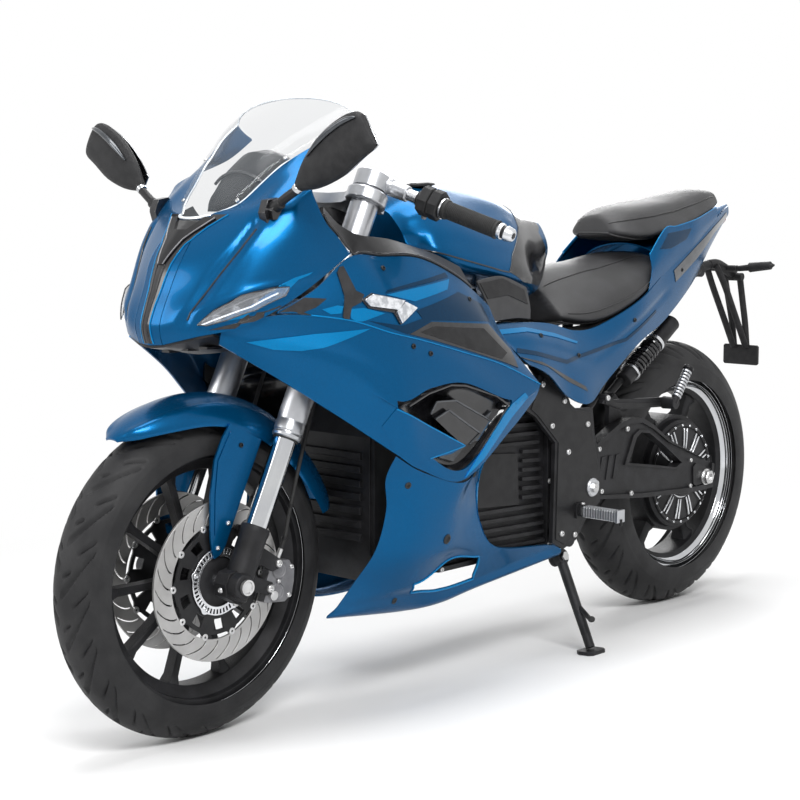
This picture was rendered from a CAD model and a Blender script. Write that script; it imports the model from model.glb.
"""Looks of the electric motorcycle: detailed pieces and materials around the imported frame."""
import math
import random

import bmesh
import bpy
import numpy as np
from mathutils import Matrix, Vector
from mathutils.bvhtree import BVHTree
from mathutils.geometry import delaunay_2d_cdt


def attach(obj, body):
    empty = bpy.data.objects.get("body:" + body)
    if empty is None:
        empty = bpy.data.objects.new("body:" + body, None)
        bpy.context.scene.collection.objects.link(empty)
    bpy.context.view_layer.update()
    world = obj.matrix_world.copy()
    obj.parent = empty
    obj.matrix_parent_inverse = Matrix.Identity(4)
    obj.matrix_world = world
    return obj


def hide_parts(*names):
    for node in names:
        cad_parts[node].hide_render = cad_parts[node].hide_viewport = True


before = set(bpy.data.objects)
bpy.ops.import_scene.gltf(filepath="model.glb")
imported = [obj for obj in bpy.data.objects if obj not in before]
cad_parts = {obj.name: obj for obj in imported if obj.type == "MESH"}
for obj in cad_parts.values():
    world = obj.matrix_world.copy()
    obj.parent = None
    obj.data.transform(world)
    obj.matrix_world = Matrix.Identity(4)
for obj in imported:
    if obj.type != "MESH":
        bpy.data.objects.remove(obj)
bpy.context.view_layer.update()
random.seed(7)

# ---------------------------------------------------------------- places, upright machine in mm
WHEELBASE, FRONT_R, REAR_R = 1450.0, 292.0, 313.0
FRONT_W, REAR_W = 110.0, 145.0
LEAN, RAKE = math.radians(4), math.radians(26)
MIRROR_Z, PLATE_REAR, LIFT = 1075.0, -352.0, 0.2
ORIGIN_X = (WHEELBASE + FRONT_R + PLATE_REAR) / 2
ORIGIN_Y = MIRROR_Z * math.sin(LEAN)
FWD = np.array([math.cos(RAKE), 0, math.sin(RAKE)])
UP = np.array([-math.sin(RAKE), 0, math.cos(RAKE)])
HUB = np.array([WHEELBASE, 0, FRONT_R])
REAR_HUB = np.array([0, 0, REAR_R])
LEAN_M = np.array([[1, 0, 0], [0, math.cos(LEAN), math.sin(LEAN)], [0, -math.sin(LEAN), math.cos(LEAN)]])
AXLE_LEAD, FORK_OFFSET, FORK_Y, FORK_LEN = 11.0, 35.0, 104.0, 772.0
LEG_X = -AXLE_LEAD
AXIS_X = -AXLE_LEAD - FORK_OFFSET
V = lambda *p: np.array(p, float)


def place(points):
    """Upright machine in mm to the leaning machine in the scene, in metres."""
    p = np.atleast_2d(np.asarray(points, float)) @ LEAN_M.T
    return (p + V(-ORIGIN_X, -ORIGIN_Y, LIFT)) / 1000


def fork(p):
    """Fork frame (x forward, y left, z up the legs, origin at the axle) to the upright machine."""
    p = np.atleast_2d(np.asarray(p, float))
    return HUB + p[:, :1] * FWD + p[:, 1:2] * V(0, 1, 0) + p[:, 2:] * UP


# ---------------------------------------------------------------- camera
CAM_AT, CAM_YAW, CAM_PITCH = V(3418.12, 2360.69, 970.72), math.radians(-136.745), math.radians(6.7616)
cam_data = bpy.data.cameras.new("camera")
cam_data.sensor_width, cam_data.lens = 36.0, 77.94
cam = bpy.data.objects.new("camera", cam_data)
bpy.context.collection.objects.link(cam)
look = LEAN_M @ V(math.cos(CAM_PITCH) * math.cos(CAM_YAW), math.cos(CAM_PITCH) * math.sin(CAM_YAW),
                  -math.sin(CAM_PITCH))
right = np.cross(look, LEAN_M @ V(0, 0, 1))
right /= np.linalg.norm(right)
over = np.cross(right, look)
cam.matrix_world = Matrix([[right[i], over[i], -look[i], place(CAM_AT)[0][i]] for i in range(3)] + [[0, 0, 0, 1]])
bpy.context.scene.camera = cam


# ---------------------------------------------------------------- materials
def material(name, color, rough=0.5, metal=0.0, coat=0.0, bump=None, tint=None, spec=None, extra=None):
    """bump: (scale, strength, kind), tint: (second colour, scale), both from procedural textures."""
    m = bpy.data.materials.new(name)
    m.use_nodes = True
    nt = m.node_tree
    b = nt.nodes["Principled BSDF"]
    b.inputs["Base Color"].default_value = (*color, 1)
    b.inputs["Roughness"].default_value = rough
    b.inputs["Metallic"].default_value = metal
    if coat:
        b.inputs["Coat Weight"].default_value = coat
        b.inputs["Coat Roughness"].default_value = 0.04
        b.inputs["Coat IOR"].default_value = 1.45
    if spec is not None:
        b.inputs["Specular IOR Level"].default_value = spec
    co = nt.nodes.new("ShaderNodeTexCoord")
    if tint:
        n = nt.nodes.new("ShaderNodeTexNoise")
        n.inputs["Scale"].default_value = tint[1]
        n.inputs["Detail"].default_value = 6
        nt.links.new(co.outputs["Object"], n.inputs["Vector"])
        r = nt.nodes.new("ShaderNodeValToRGB")
        r.color_ramp.elements[0].position, r.color_ramp.elements[1].position = 0.38, 0.62
        r.color_ramp.elements[0].color = (*color, 1)
        r.color_ramp.elements[1].color = (*tint[0], 1)
        nt.links.new(n.outputs["Fac"], r.inputs["Fac"])
        nt.links.new(r.outputs["Color"], b.inputs["Base Color"])
    if bump:
        scale, strength, kind = bump
        if kind == "cells":
            t = nt.nodes.new("ShaderNodeTexVoronoi")
            t.feature = "DISTANCE_TO_EDGE"
            out = t.outputs["Distance"]
        else:
            t = nt.nodes.new("ShaderNodeTexNoise")
            t.inputs["Detail"].default_value = 4
            out = t.outputs["Fac"]
        t.inputs["Scale"].default_value = scale
        mp = nt.nodes.new("ShaderNodeMapping")
        mp.inputs["Scale"].default_value = extra or (1, 1, 1)
        nt.links.new(co.outputs["Object"], mp.inputs["Vector"])
        nt.links.new(mp.outputs["Vector"], t.inputs["Vector"])
        bp = nt.nodes.new("ShaderNodeBump")
        bp.inputs["Strength"].default_value = strength
        bp.inputs["Distance"].default_value = 0.001
        nt.links.new(out, bp.inputs["Height"])
        nt.links.new(bp.outputs["Normal"], b.inputs["Normal"])
    return m


BLUE = material("blue_paint", (0.0006, 0.062, 0.165), 0.27, 0.62, 0.16, (2600, 0.05, "noise"), ((0.001, 0.085, 0.22), 900), 0.05)
NAVY = material("dark_blue_paint", (0.002, 0.026, 0.065), 0.22, 0.6, 0.16, (2600, 0.04, "noise"), ((0.003, 0.036, 0.088), 900), 0.05)
CRYSTAL = material("faceted_lens", (0.5, 0.52, 0.55), 0.1, 0.9, 0.8, (150, 1.0, "cells"), ((0.85, 0.87, 0.9), 90))
GLOSS = material("gloss_black", (0.004, 0.004, 0.005), 0.16, 0, 0.2, (400, 0.02, "noise"), ((0.014, 0.014, 0.016), 60))
SATIN = material("satin_black", (0.009, 0.009, 0.01), 0.36, 0, 0, (1500, 0.12, "noise"), ((0.015, 0.015, 0.016), 40), 0.22)
MATT = material("matt_black", (0.012, 0.012, 0.013), 0.5, 0, 0, (2200, 0.35, "cells"), ((0.02, 0.02, 0.021), 50), 0.2)
CAST = material("cast_black", (0.012, 0.012, 0.013), 0.42, 0.1, 0, (1300, 0.4, "noise"), ((0.02, 0.02, 0.022), 30), 0.2)
ALLOY = material("bright_alloy", (0.6, 0.61, 0.63), 0.26, 0.95, 0, (900, 0.12, "noise"), ((0.68, 0.69, 0.71), 20))
CHROME = material("chrome", (0.5, 0.51, 0.53), 0.1, 1.0, 0, (300, 0.01, "noise"), ((0.56, 0.57, 0.58), 15))
STEEL = material("steel", (0.5, 0.5, 0.5), 0.32, 0.9, 0, (700, 0.25, "noise"), ((0.6, 0.6, 0.6), 35))
GREY = material("grey_cast", (0.16, 0.16, 0.17), 0.45, 0.5, 0, (1100, 0.5, "noise"), ((0.22, 0.22, 0.23), 30))
RUBBER = material("rubber", (0.018, 0.018, 0.018), 0.62, 0, 0, (1600, 0.4, "noise"), ((0.022, 0.022, 0.022), 60), 0.3)
TYRE = material("tyre_rubber", (0.014, 0.014, 0.015), 0.55, 0, 0, (1200, 0.35, "noise"), ((0.024, 0.024, 0.025), 18), 0.22)
SEAT = material("seat_vinyl", (0.016, 0.016, 0.017), 0.45, 0, 0, (700, 0.5, "cells"), ((0.024, 0.024, 0.026), 20))
RED = material("red_lens", (0.3, 0.005, 0.005), 0.12, 0, 0.6, (300, 0.2, "cells"), ((0.4, 0.01, 0.01), 40))
ORANGE = material("orange_lens", (0.7, 0.16, 0.01), 0.12, 0, 0.6, (300, 0.2, "cells"), ((0.8, 0.22, 0.02), 40))
GLASS = material("clear_screen", (0.2, 0.22, 0.24), 0.03, 0, 0, (40, 0.01, "noise"), ((0.24, 0.26, 0.28), 6))
LENS = material("clear_lens", (0.3, 0.32, 0.35), 0.04, 0, 0, (200, 0.05, "cells"), ((0.4, 0.42, 0.45), 30))
LIGHT = material("white_light", (0.9, 0.93, 1.0), 0.2, 0, 0.5, (200, 0.01, "noise"), ((0.95, 0.97, 1.0), 20))
BRIGHT = material("bright_blue_paint", (0.001, 0.16, 0.39), 0.22, 0.6, 0.16, (2600, 0.04, "noise"), ((0.003, 0.2, 0.46), 900), 0.05)
SILVERY = material("grey_blue_gloss", (0.03, 0.035, 0.042), 0.2, 0.6, 0.8, (900, 0.03, "noise"), ((0.05, 0.056, 0.065), 60))
RIBBED = material("ribbed_black", (0.02, 0.02, 0.022), 0.5, 0, 0, (260, 0.8, "noise"), ((0.03, 0.03, 0.032), 50), None,
                  (1, 1, 8))
CLEAR = material("clear_edge", (0.8, 0.86, 0.92), 0.1, 0.2, 0.6, (300, 0.02, "noise"), ((0.9, 0.94, 0.98), 20))
DISC = material("ground_steel", (0.36, 0.355, 0.35), 0.42, 0.85, 0, (900, 0.15, "noise"), ((0.44, 0.435, 0.43), 12))
SILVER = material("silver_paint", (0.42, 0.43, 0.45), 0.3, 0.9, 0.2, (1200, 0.1, "noise"), ((0.5, 0.51, 0.53), 25))
for m, alpha in ((GLASS, 0.13), (LENS, 0.25)):
    m.node_tree.nodes["Principled BSDF"].inputs["Alpha"].default_value = alpha
lit = LIGHT.node_tree.nodes["Principled BSDF"]
lit.inputs["Emission Color"].default_value = (0.85, 0.92, 1, 1)
lit.inputs["Emission Strength"].default_value = 1.2

LOOKS = {
    BLUE: ["nose_cowl", "side_fairing_left", "side_fairing_right", "belly_pan_left", "belly_pan_right",
           "tank_cover", "tail_left", "tail_right", "tail_cowl", "front_fender"],
    GLOSS: ["nose_trim", "fairing_vents", "cockpit_trim"],
    MATT: ["instrument_panel", "plate_carrier", "mirrors", "controls", "knee_panels"],
    CAST: ["main_frame", "subframe", "swingarm", "battery_case", "rear_shock", "fork_lowers", "front_rim",
           "rear_rim", "hub_motor", "side_stand"],
    GREY: ["brake_calipers"], ALLOY: ["foot_pegs", "fork_clamps", "handlebars", "fork_tubes"],
    CHROME: ["stanchions"], STEEL: ["rear_axle", "front_axle", "front_discs"],
    RUBBER: ["grips", "brake_hoses"], TYRE: ["front_tyre", "rear_tyre"], SEAT: ["rider_seat", "pillion_seat"],
    GLASS: ["windscreen"], LENS: ["front_lamps"], RED: ["rear_lamps"],
}
for m, names in LOOKS.items():
    for n in names:
        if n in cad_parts:
            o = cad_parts[n]
            o.data.materials.clear()
            o.data.materials.append(m)

# ---------------------------------------------------------------- shapes
def cr(a, b, c, d, t):
    return 0.5 * (2 * b + (c - a) * t + (2 * a - 5 * b + 4 * c - d) * t * t + (3 * b - a - 3 * c + d) * t ** 3)


def smooth(P, k, sharp=()):
    """Catmull-Rom points through P; the line may bend at the indexes in sharp."""
    P = np.asarray(P, float)
    n, out = len(P), []
    for i in range(n - 1):
        a = P[i] if i == 0 or i in sharp else P[i - 1]
        d = P[i + 1] if i == n - 2 or i + 1 in sharp else P[i + 2]
        out += [cr(a, P[i], P[i + 1], d, j / k) for j in range(k)]
    return np.array(out + [P[-1]])


def ring_smooth(P, k):
    P = np.asarray(P, float)
    n = len(P)
    return np.array([cr(P[i - 1], P[i], P[(i + 1) % n], P[(i + 2) % n], j / k) for i in range(n) for j in range(k)])


def grid(R, ku, kv, sharp_cols=(), sharp_rows=()):
    R = np.asarray(R, float)
    rows = np.array([smooth(r, ku, sharp_cols) for r in R])
    return np.array([smooth(rows[:, j], kv, sharp_rows) for j in range(rows.shape[1])]).transpose(1, 0, 2)


def unit(v):
    v = np.asarray(v, float)
    return v / np.linalg.norm(v, axis=-1, keepdims=True)


def basis(axis):
    """Two directions across the axis."""
    a = unit(axis)
    u = unit(np.cross(a, V(0, 0, 1) if abs(a[2]) < 0.9 else V(1, 0, 0)))
    return u, np.cross(a, u), a


class Build:
    """Collects parts in mm and makes one piece of them."""

    def __init__(self, name, body, at=lambda p: p):
        self.name, self.body, self.at = name, body, at
        self.v, self.f, self.m, self.mats = [], [], [], []

    def add(self, verts, faces, mat):
        if mat not in self.mats:
            self.mats.append(mat)
        base = len(self.v)
        self.v += list(np.atleast_2d(self.at(np.asarray(verts, float))))
        self.f += [[i + base for i in f] for f in faces]
        self.m += [self.mats.index(mat)] * len(faces)

    def sheet(self, G, t, focus, mat, holes=(), inner=None):
        """A curved wall over the grid G, t thick towards the point focus."""
        G = np.asarray(G, float)
        n, m = G.shape[:2]
        off = unit(np.asarray(focus, float) - G) * t
        verts = np.concatenate([G.reshape(-1, 3), (G + off).reshape(-1, 3)])
        full = np.ones((n + 1, m + 1), bool)
        full[0, :] = full[-1, :] = full[:, 0] = full[:, -1] = False
        for h in holes:
            full[h[0] + 1:h[1] + 1, h[2] + 1:h[3] + 1] = False
        q = lambda i, j, s: s * n * m + i * m + j
        turn = np.dot(np.cross(G[1][0] - G[0][0], G[0][1] - G[0][0]), off[0][0]) > 0
        faces = []
        for i in range(n - 1):
            for j in range(m - 1):
                if not full[i + 1, j + 1]:
                    continue
                faces.append([q(i, j, 0), q(i + 1, j, 0), q(i + 1, j + 1, 0), q(i, j + 1, 0)])
                faces.append([q(i, j, 1), q(i, j + 1, 1), q(i + 1, j + 1, 1), q(i + 1, j, 1)])
                if not full[i + 1, j]:
                    faces.append([q(i, j, 0), q(i, j, 1), q(i + 1, j, 1), q(i + 1, j, 0)])
                if not full[i + 1, j + 2]:
                    faces.append([q(i, j + 1, 0), q(i + 1, j + 1, 0), q(i + 1, j + 1, 1), q(i, j + 1, 1)])
                if not full[i, j + 1]:
                    faces.append([q(i, j, 0), q(i, j + 1, 0), q(i, j + 1, 1), q(i, j, 1)])
                if not full[i + 2, j + 1]:
                    faces.append([q(i + 1, j, 0), q(i + 1, j, 1), q(i + 1, j + 1, 1), q(i + 1, j + 1, 0)])
        if turn:
            faces = [f[::-1] for f in faces]
        self.add(verts, faces, mat)

    def rings(self, R, mat, caps=True, closed=False):
        """A skin through rings of points."""
        R = np.asarray(R, float)
        n, m = R.shape[:2]
        faces = [[i * m + j, i * m + (j + 1) % m, ((i + 1) % n) * m + (j + 1) % m, ((i + 1) % n) * m + j]
                 for i in range(n if closed else n - 1) for j in range(m)]
        if caps and not closed:
            faces += [list(range(m))[::-1], [(n - 1) * m + j for j in range(m)]]
        self.add(R.reshape(-1, 3), faces, mat)

    def lathe(self, prof, mat, o, axis, n=48, closed=False, a0=0.0, a1=360.0):
        """Turns (radius, height) pairs about the axis through o."""
        u, w, a = basis(axis)
        whole = abs(a1 - a0) > 359.9
        th = np.radians(np.linspace(a0, a1, n, endpoint=not whole))
        o = np.asarray(o, float)
        R = np.array([[o + r * (math.cos(t) * u + math.sin(t) * w) + h * a for t in th] for r, h in prof])
        k = len(prof)
        faces = [[i * n + j, i * n + (j + 1) % n, ((i + 1) % k) * n + (j + 1) % n, ((i + 1) % k) * n + j]
                 for i in range(k if closed else k - 1) for j in range(n if whole else n - 1)]
        if not closed and whole:
            faces += [list(range(n))[::-1], [(k - 1) * n + j for j in range(n)]]
        self.add(R.reshape(-1, 3), [f[::-1] for f in faces], mat)

    def rod(self, a, b, r, mat, r2=None, n=24, chamfer=0.0):
        a, b = np.asarray(a, float), np.asarray(b, float)
        L = np.linalg.norm(b - a)
        r2 = r if r2 is None else r2
        c = chamfer
        prof = [(r - c, 0), (r, c), (r2, L - c), (r2 - c, L)] if c else [(r, 0), (r2, L)]
        self.lathe(prof, mat, a, b - a, n)

    def tube(self, P, r, mat, n=16, k=6, sharp=(), scale=None, flat=None):
        """A bent bar through P; flat squeezes it along a direction."""
        Q = smooth(P, k, sharp) if k > 1 else np.asarray(P, float)
        d = unit(np.gradient(Q, axis=0))
        u = basis(d[0])[0]
        R = []
        for i, p in enumerate(Q):
            u = unit(u - np.dot(u, d[i]) * d[i])
            w = np.cross(d[i], u)
            s = 1 if scale is None else np.interp(i / (len(Q) - 1), np.linspace(0, 1, len(scale)), scale)
            ring = [r * s * (math.cos(t) * u + math.sin(t) * w) for t in np.radians(np.arange(n) * 360 / n)]
            if flat is not None:
                ring = [x - np.dot(x, unit(flat[0])) * unit(flat[0]) * (1 - flat[1]) for x in ring]
            R.append([p + x for x in ring])
        self.rings(R, mat)

    def prism(self, P, y0, y1, mat, plane="xz", at=None):
        """An outline drawn out; plane xz runs along y, xy along z, yz along x."""
        P = np.asarray(P, float)
        n = len(P)
        area = sum(P[i - 1][0] * P[i][1] - P[i][0] * P[i - 1][1] for i in range(n))
        if area < 0:
            P = P[::-1]
        put = {"xz": lambda p, h: V(p[0], h, p[1]), "xy": lambda p, h: V(p[0], p[1], h),
               "yz": lambda p, h: V(h, p[0], p[1])}[plane]
        verts = [put(p, y0) for p in P] + [put(p, y1) for p in P]
        if at is not None:
            verts = [at(v) for v in verts]
        faces = [list(range(n)), list(range(2 * n - 1, n - 1, -1))]
        faces += [[i, i + n, (i + 1) % n + n, (i + 1) % n] for i in range(n)]
        if plane != "xz":
            faces = [f[::-1] for f in faces]
        self.add(verts, faces, mat)

    def bolt(self, o, axis, r, mat, h=None, n=16):
        """A button-head screw with a hexagon socket."""
        h = h or r * 0.7
        u, w, a = basis(axis)
        o = np.asarray(o, float)
        rings = [[o + q * (math.cos(t) * u + math.sin(t) * w) + z * a
                  for t in np.radians(np.arange(n) * 360 / n)]
                 for q, z in ((r, -0.6), (r, 0.35 * h), (0.86 * r, 0.8 * h), (0.6 * r, h), (0.42 * r, h), (0.38 * r, 0.3 * h))]
        self.rings(rings, mat)

    def box(self, lo, hi, mat):
        lo, hi = np.asarray(lo, float), np.asarray(hi, float)
        c = [V(*(hi[k] if i >> k & 1 else lo[k] for k in range(3))) for i in range(8)]
        self.add(c, [[0, 2, 3, 1], [4, 5, 7, 6], [0, 1, 5, 4], [2, 6, 7, 3], [0, 4, 6, 2], [1, 3, 7, 5]], mat)

    def done(self, nodes=(), bevel=0.0, angle=35, mirror=False, subdiv=0, segments=2):
        v, f, m = [np.asarray(self.v)], list(self.f), list(self.m)
        if mirror:
            k = len(self.v)
            v.append(np.asarray(self.v) * V(1, -1, 1))
            f += [[i + k for i in reversed(q)] for q in self.f]
            m += m
        mesh = bpy.data.meshes.new(self.name)
        mesh.from_pydata(place(np.concatenate(v)).tolist(), [], f)
        for mat in self.mats:
            mesh.materials.append(mat)
        mesh.polygons.foreach_set("material_index", m)
        mesh.validate()
        bm = bmesh.new()
        bm.from_mesh(mesh)
        bmesh.ops.remove_doubles(bm, verts=bm.verts, dist=1e-6)
        bmesh.ops.recalc_face_normals(bm, faces=bm.faces)
        bm.to_mesh(mesh)
        bm.free()
        mesh.shade_smooth()
        mesh.set_sharp_from_angle(angle=math.radians(angle))
        o = bpy.data.objects.new(self.name, mesh)
        bpy.context.collection.objects.link(o)
        if bevel:
            b = o.modifiers.new("edge", "BEVEL")
            b.width, b.segments, b.limit_method, b.angle_limit = bevel / 1000, segments, "ANGLE", math.radians(angle)
        if subdiv:
            s = o.modifiers.new("round", "SUBSURF")
            s.levels = s.render_levels = subdiv
        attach(o, self.body)
        if nodes:
            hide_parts(*nodes)
        return o

def outer_tree(G):
    """Search tree over the outer face of a grid."""
    n, m = G.shape[:2]
    quads = [[i * m + j, (i + 1) * m + j, (i + 1) * m + j + 1, i * m + j + 1]
             for i in range(n - 1) for j in range(m - 1)]
    return BVHTree.FromPolygons([tuple(p) for p in G.reshape(-1, 3)], quads)


def on_face(tree, a, b, look):
    """Point and outward normal where the line along y (or x) at (a, b) meets the face."""
    o, d = ((a, 900, b), (0, -1, 0)) if look == "y" else ((2200, a, b), (-1, 0, 0))
    if look == "z":
        o, d = (a, b, 1600), (0, 0, -1)
    hit, normal, _, _ = tree.ray_cast(Vector(o), Vector(d))
    if hit is None:
        near = Vector((a, 230, b) if look == "y" else (1480, a, b) if look == "x" else (a, b, 900))
        hit, normal, _, _ = tree.find_nearest(near)
    normal = V(*normal)
    return V(*hit), normal if np.dot(normal, d) < 0 else -normal


def patch(self, tree, outline, mat, out=0.5, t=2.0, look="y", step=7.0):
    """A thin inlay that follows a face, with its outline drawn as seen along y, x or z."""
    P = np.asarray(outline, float)
    edge = []
    for a, b in zip(P, np.roll(P, -1, 0)):
        n = max(1, int(np.linalg.norm(b - a) / step))
        edge += [a + (b - a) * i / n for i in range(n)]
    n = len(edge)
    inner = [V(x, z) for x in np.arange(P[:, 0].min(), P[:, 0].max(), step)
             for z in np.arange(P[:, 1].min(), P[:, 1].max(), step)]
    if inner:
        gaps = np.linalg.norm(np.array(inner)[:, None] - np.array(edge)[None], axis=2).min(axis=1)
        inner = [p for p, g in zip(inner, gaps) if g > 0.6 * step]
    flat, _, faces = delaunay_2d_cdt([Vector(p) for p in edge + inner],
                                     [(i, (i + 1) % n) for i in range(n)], [], 1, 1e-3)[:3]
    pts = [on_face(tree, p[0], p[1], look) for p in flat]
    k = len(pts)
    verts = [p + out * q for p, q in pts] + [p - (t - out) * q for p, q in pts]
    edges = {}
    for f in faces:
        for i in range(len(f)):
            e = (f[i], f[(i + 1) % len(f)])
            edges[e] = edges.get(e, 0) + 1
    rim = [e for e in edges if (e[1], e[0]) not in edges]
    all_faces = [list(f) for f in faces] + [[i + k for i in reversed(f)] for f in faces]
    all_faces += [[a, a + k, b + k, b] for a, b in rim]
    self.add(verts, all_faces, mat)


def line_on(tree, pts, out=0.0, look="y", step=6.0):
    """A run of points over a face, for tubes and rows of screws."""
    P = np.asarray(pts, float)
    run = [P[0]]
    for a, b in zip(P, P[1:]):
        n = max(1, int(np.linalg.norm(b - a) / step))
        run += [a + (b - a) * i / n for i in range(1, n + 1)]
    return np.array([h + out * n for h, n in (on_face(tree, p[0], p[1], look) for p in run)])


Build.patch = patch


def crease(G, focus, line, wide, high):
    """Lifts the grid along a line away from the focus, or sinks it if high is negative."""
    line = smooth(line, 6)
    P = G.reshape(-1, 3)
    d = np.full(len(P), 1e9)
    for a, b in zip(line, line[1:]):
        t = np.clip(((P - a) @ (b - a)) / max((b - a) @ (b - a), 1e-9), 0, 1)
        d = np.minimum(d, np.linalg.norm(P - (a + t[:, None] * (b - a)), axis=1))
    s = high * np.exp(-(d / wide) ** 2)
    inner = np.ones(G.shape[:2])
    inner[0] = inner[-1] = inner[:, 0] = inner[:, -1] = 0
    return (P + (s * inner.ravel())[:, None] * unit(P - np.asarray(focus, float))).reshape(G.shape)


# ---------------------------------------------------------------- body panels, on the part's own tables
NOSE_FOCUS, SIDE_FOCUS, TAIL_FOCUS = V(1180, 0, 800), V(1000, -1500, 560), V(150, 0, 740)
PANEL_T, SEAM, FIT = 4.0, 0.8, 0.3

NOSE = [
  [[1538, 32, 714], [1515, 95, 730], [1452, 155, 750], [1360, 190, 800], [1248, 200, 868]],
  [[1545, 34, 750], [1527, 85, 765], [1462, 152, 790], [1375, 190, 826], [1262, 199, 880]],
  [[1524, 36, 806], [1500, 92, 815], [1445, 158, 835], [1372, 192, 860], [1282, 199, 900]],
  [[1497, 42, 866], [1468, 98, 875], [1425, 155, 890], [1368, 190, 905], [1305, 197, 922]],
  [[1440, 38, 931], [1425, 95, 930], [1400, 145, 938], [1365, 178, 948], [1322, 192, 955]],
  [[1396, 75, 956], [1385, 105, 962], [1375, 135, 968], [1352, 165, 972], [1328, 186, 985]],
  [[1323, 105, 1022], [1320, 120, 1020], [1313, 140, 1015], [1303, 155, 1012], [1290, 170, 1010]],
  [[1244, 145, 1074], [1240, 150, 1068], [1232, 156, 1058], [1222, 160, 1050], [1212, 166, 1040]],
  [[1191, 160, 1105], [1186, 162, 1100], [1176, 164, 1092], [1164, 166, 1085], [1150, 167, 1078]]
]
SCREEN = [
  [1438, 36, 935, 1451, 930],
  [1427, 45, 939, 1441, 946],
  [1396, 74, 957, 1418, 976],
  [1357, 89, 992, 1383, 1014],
  [1323, 104, 1023, 1345, 1048],
  [1294, 119, 1041, 1312, 1074],
  [1244, 144, 1075, 1262, 1110],
  [1191, 159, 1106, 1195, 1149]
]
WING = [
  [[1482, 121, 738], [1400, 170, 765], [1290, 225, 755], [1193, 247, 727], [1110, 250, 708],
    [1000, 247, 680], [880, 241, 648], [756, 235, 600]],
  [[1485, 122, 731], [1395, 165, 720], [1285, 222, 680], [1190, 258, 606], [1100, 260, 622],
    [1004, 257, 623], [858, 248, 578], [758, 235, 592]],
  [[1487, 123, 724], [1388, 160, 685], [1280, 215, 625], [1184, 254, 585], [1092, 244, 497],
    [985, 240, 458], [868, 247, 556], [762, 234, 582]],
  [[1489, 124, 717], [1383, 158, 652], [1274, 208, 575], [1165, 230, 505], [1100, 234, 468],
    [985, 238, 437], [850, 236, 515], [767, 232, 572]]
]
SHOULDER = [
  [[1470, 131, 744], [1400, 174, 772], [1330, 194, 808], [1250, 200, 862], [1170, 200, 860],
    [1070, 202, 854], [960, 203, 812], [860, 190, 757]],
  [[1476, 127, 741], [1400, 173, 769], [1310, 211, 784], [1222, 232, 798], [1140, 236, 790],
    [1035, 234, 776], [925, 226, 738], [838, 211, 694]],
  [[x, y, z + (3 * SEAM if j < 2 else SEAM)] for j, (x, y, z) in enumerate(WING[0])]
]
BELLY = [
  [[1163, 229, 500], [1095, 233, 463], [985, 236, 431], [930, 232, 466], [880, 231, 500]],
  [[1165, 205, 455], [1095, 225, 435], [1000, 230, 405], [950, 222, 425], [905, 214, 450]],
  [[1150, 192, 395], [1090, 215, 370], [1010, 220, 360], [950, 212, 375], [905, 202, 400]],
  [[1168, 182, 321], [1090, 200, 300], [1000, 205, 300], [940, 200, 320], [892, 196, 341]],
  [[1201, 158, 261], [1050, 168, 235], [955, 178, 272], [865, 172, 262], [812, 176, 272]],
  [[1241, 153, 221], [1040, 150, 214], [960, 150, 206], [860, 152, 212], [605, 156, 243]],
  [[1264, 153, 205], [1045, 128, 176], [940, 134, 174], [830, 142, 190], [578, 148, 217]],
  [[1110, 96, 182], [1045, 84, 171], [940, 90, 169], [830, 98, 183], [592, 106, 213]]
]
TANK = [
  [520, [[0, 918], [35, 912], [58, 880], [64, 852], [52, 835], [0, 828]]],
  [600, [[0, 940], [48, 928], [82, 892], [100, 830], [100, 775], [0, 745]]],
  [690, [[0, 974], [60, 955], [105, 912], [135, 850], [140, 790], [0, 765]]],
  [790, [[0, 988], [62, 964], [120, 915], [152, 860], [150, 805], [0, 785]]],
  [890, [[0, 986], [65, 964], [118, 930], [150, 885], [150, 825], [0, 800]]],
  [960, [[0, 972], [60, 962], [104, 932], [138, 890], [138, 848], [0, 822]]],
  [1000, [[0, 948], [46, 940], [74, 918], [96, 888], [96, 862], [0, 845]]]
]
KNEE = [
  [[891, 186, 806], [800, 172, 812], [708, 160, 786]],
  [[863, 189, 762], [790, 180, 768], [700, 164, 748]],
  [[842.5, 189, 726], [756, 174, 727], [702, 166, 722]]
]
SEAT_ROWS = [
  [140, [[0, 842], [60, 834], [98, 818], [106, 804], [60, 798], [0, 796]]],
  [210, [[0, 844], [65, 834], [116, 808], [126, 782], [70, 770], [0, 768]]],
  [300, [[0, 838], [70, 822], [132, 782], [144, 745], [90, 732], [0, 730]]],
  [400, [[0, 828], [68, 808], [130, 760], [149, 715], [100, 702], [0, 700]]],
  [480, [[0, 812], [60, 790], [120, 742], [142, 706], [90, 695], [0, 692]]],
  [540, [[0, 785], [50, 770], [95, 735], [110, 715], [70, 700], [0, 698]]]
]
PILLION = [
  [-160, [[0, 982], [30, 976], [42, 962], [44, 950], [28, 944], [0, 942.6]]],
  [-90, [[0, 984], [45, 974], [64, 948], [68, 933], [40, 926], [0, 923.4]]],
  [0, [[0, 975], [52, 962], [80, 928], [86, 908], [50, 902], [0, 899.6]]],
  [100, [[0, 963], [60, 950], [92, 912], [100, 888], [55, 881], [0, 878.6]]],
  [200, [[0, 948], [60, 936], [92, 900], [98, 878], [55, 868], [0, 866]]],
  [262, [[0, 930], [40, 922], [64, 900], [68, 884], [40, 876], [0, 874]]]
]
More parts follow.
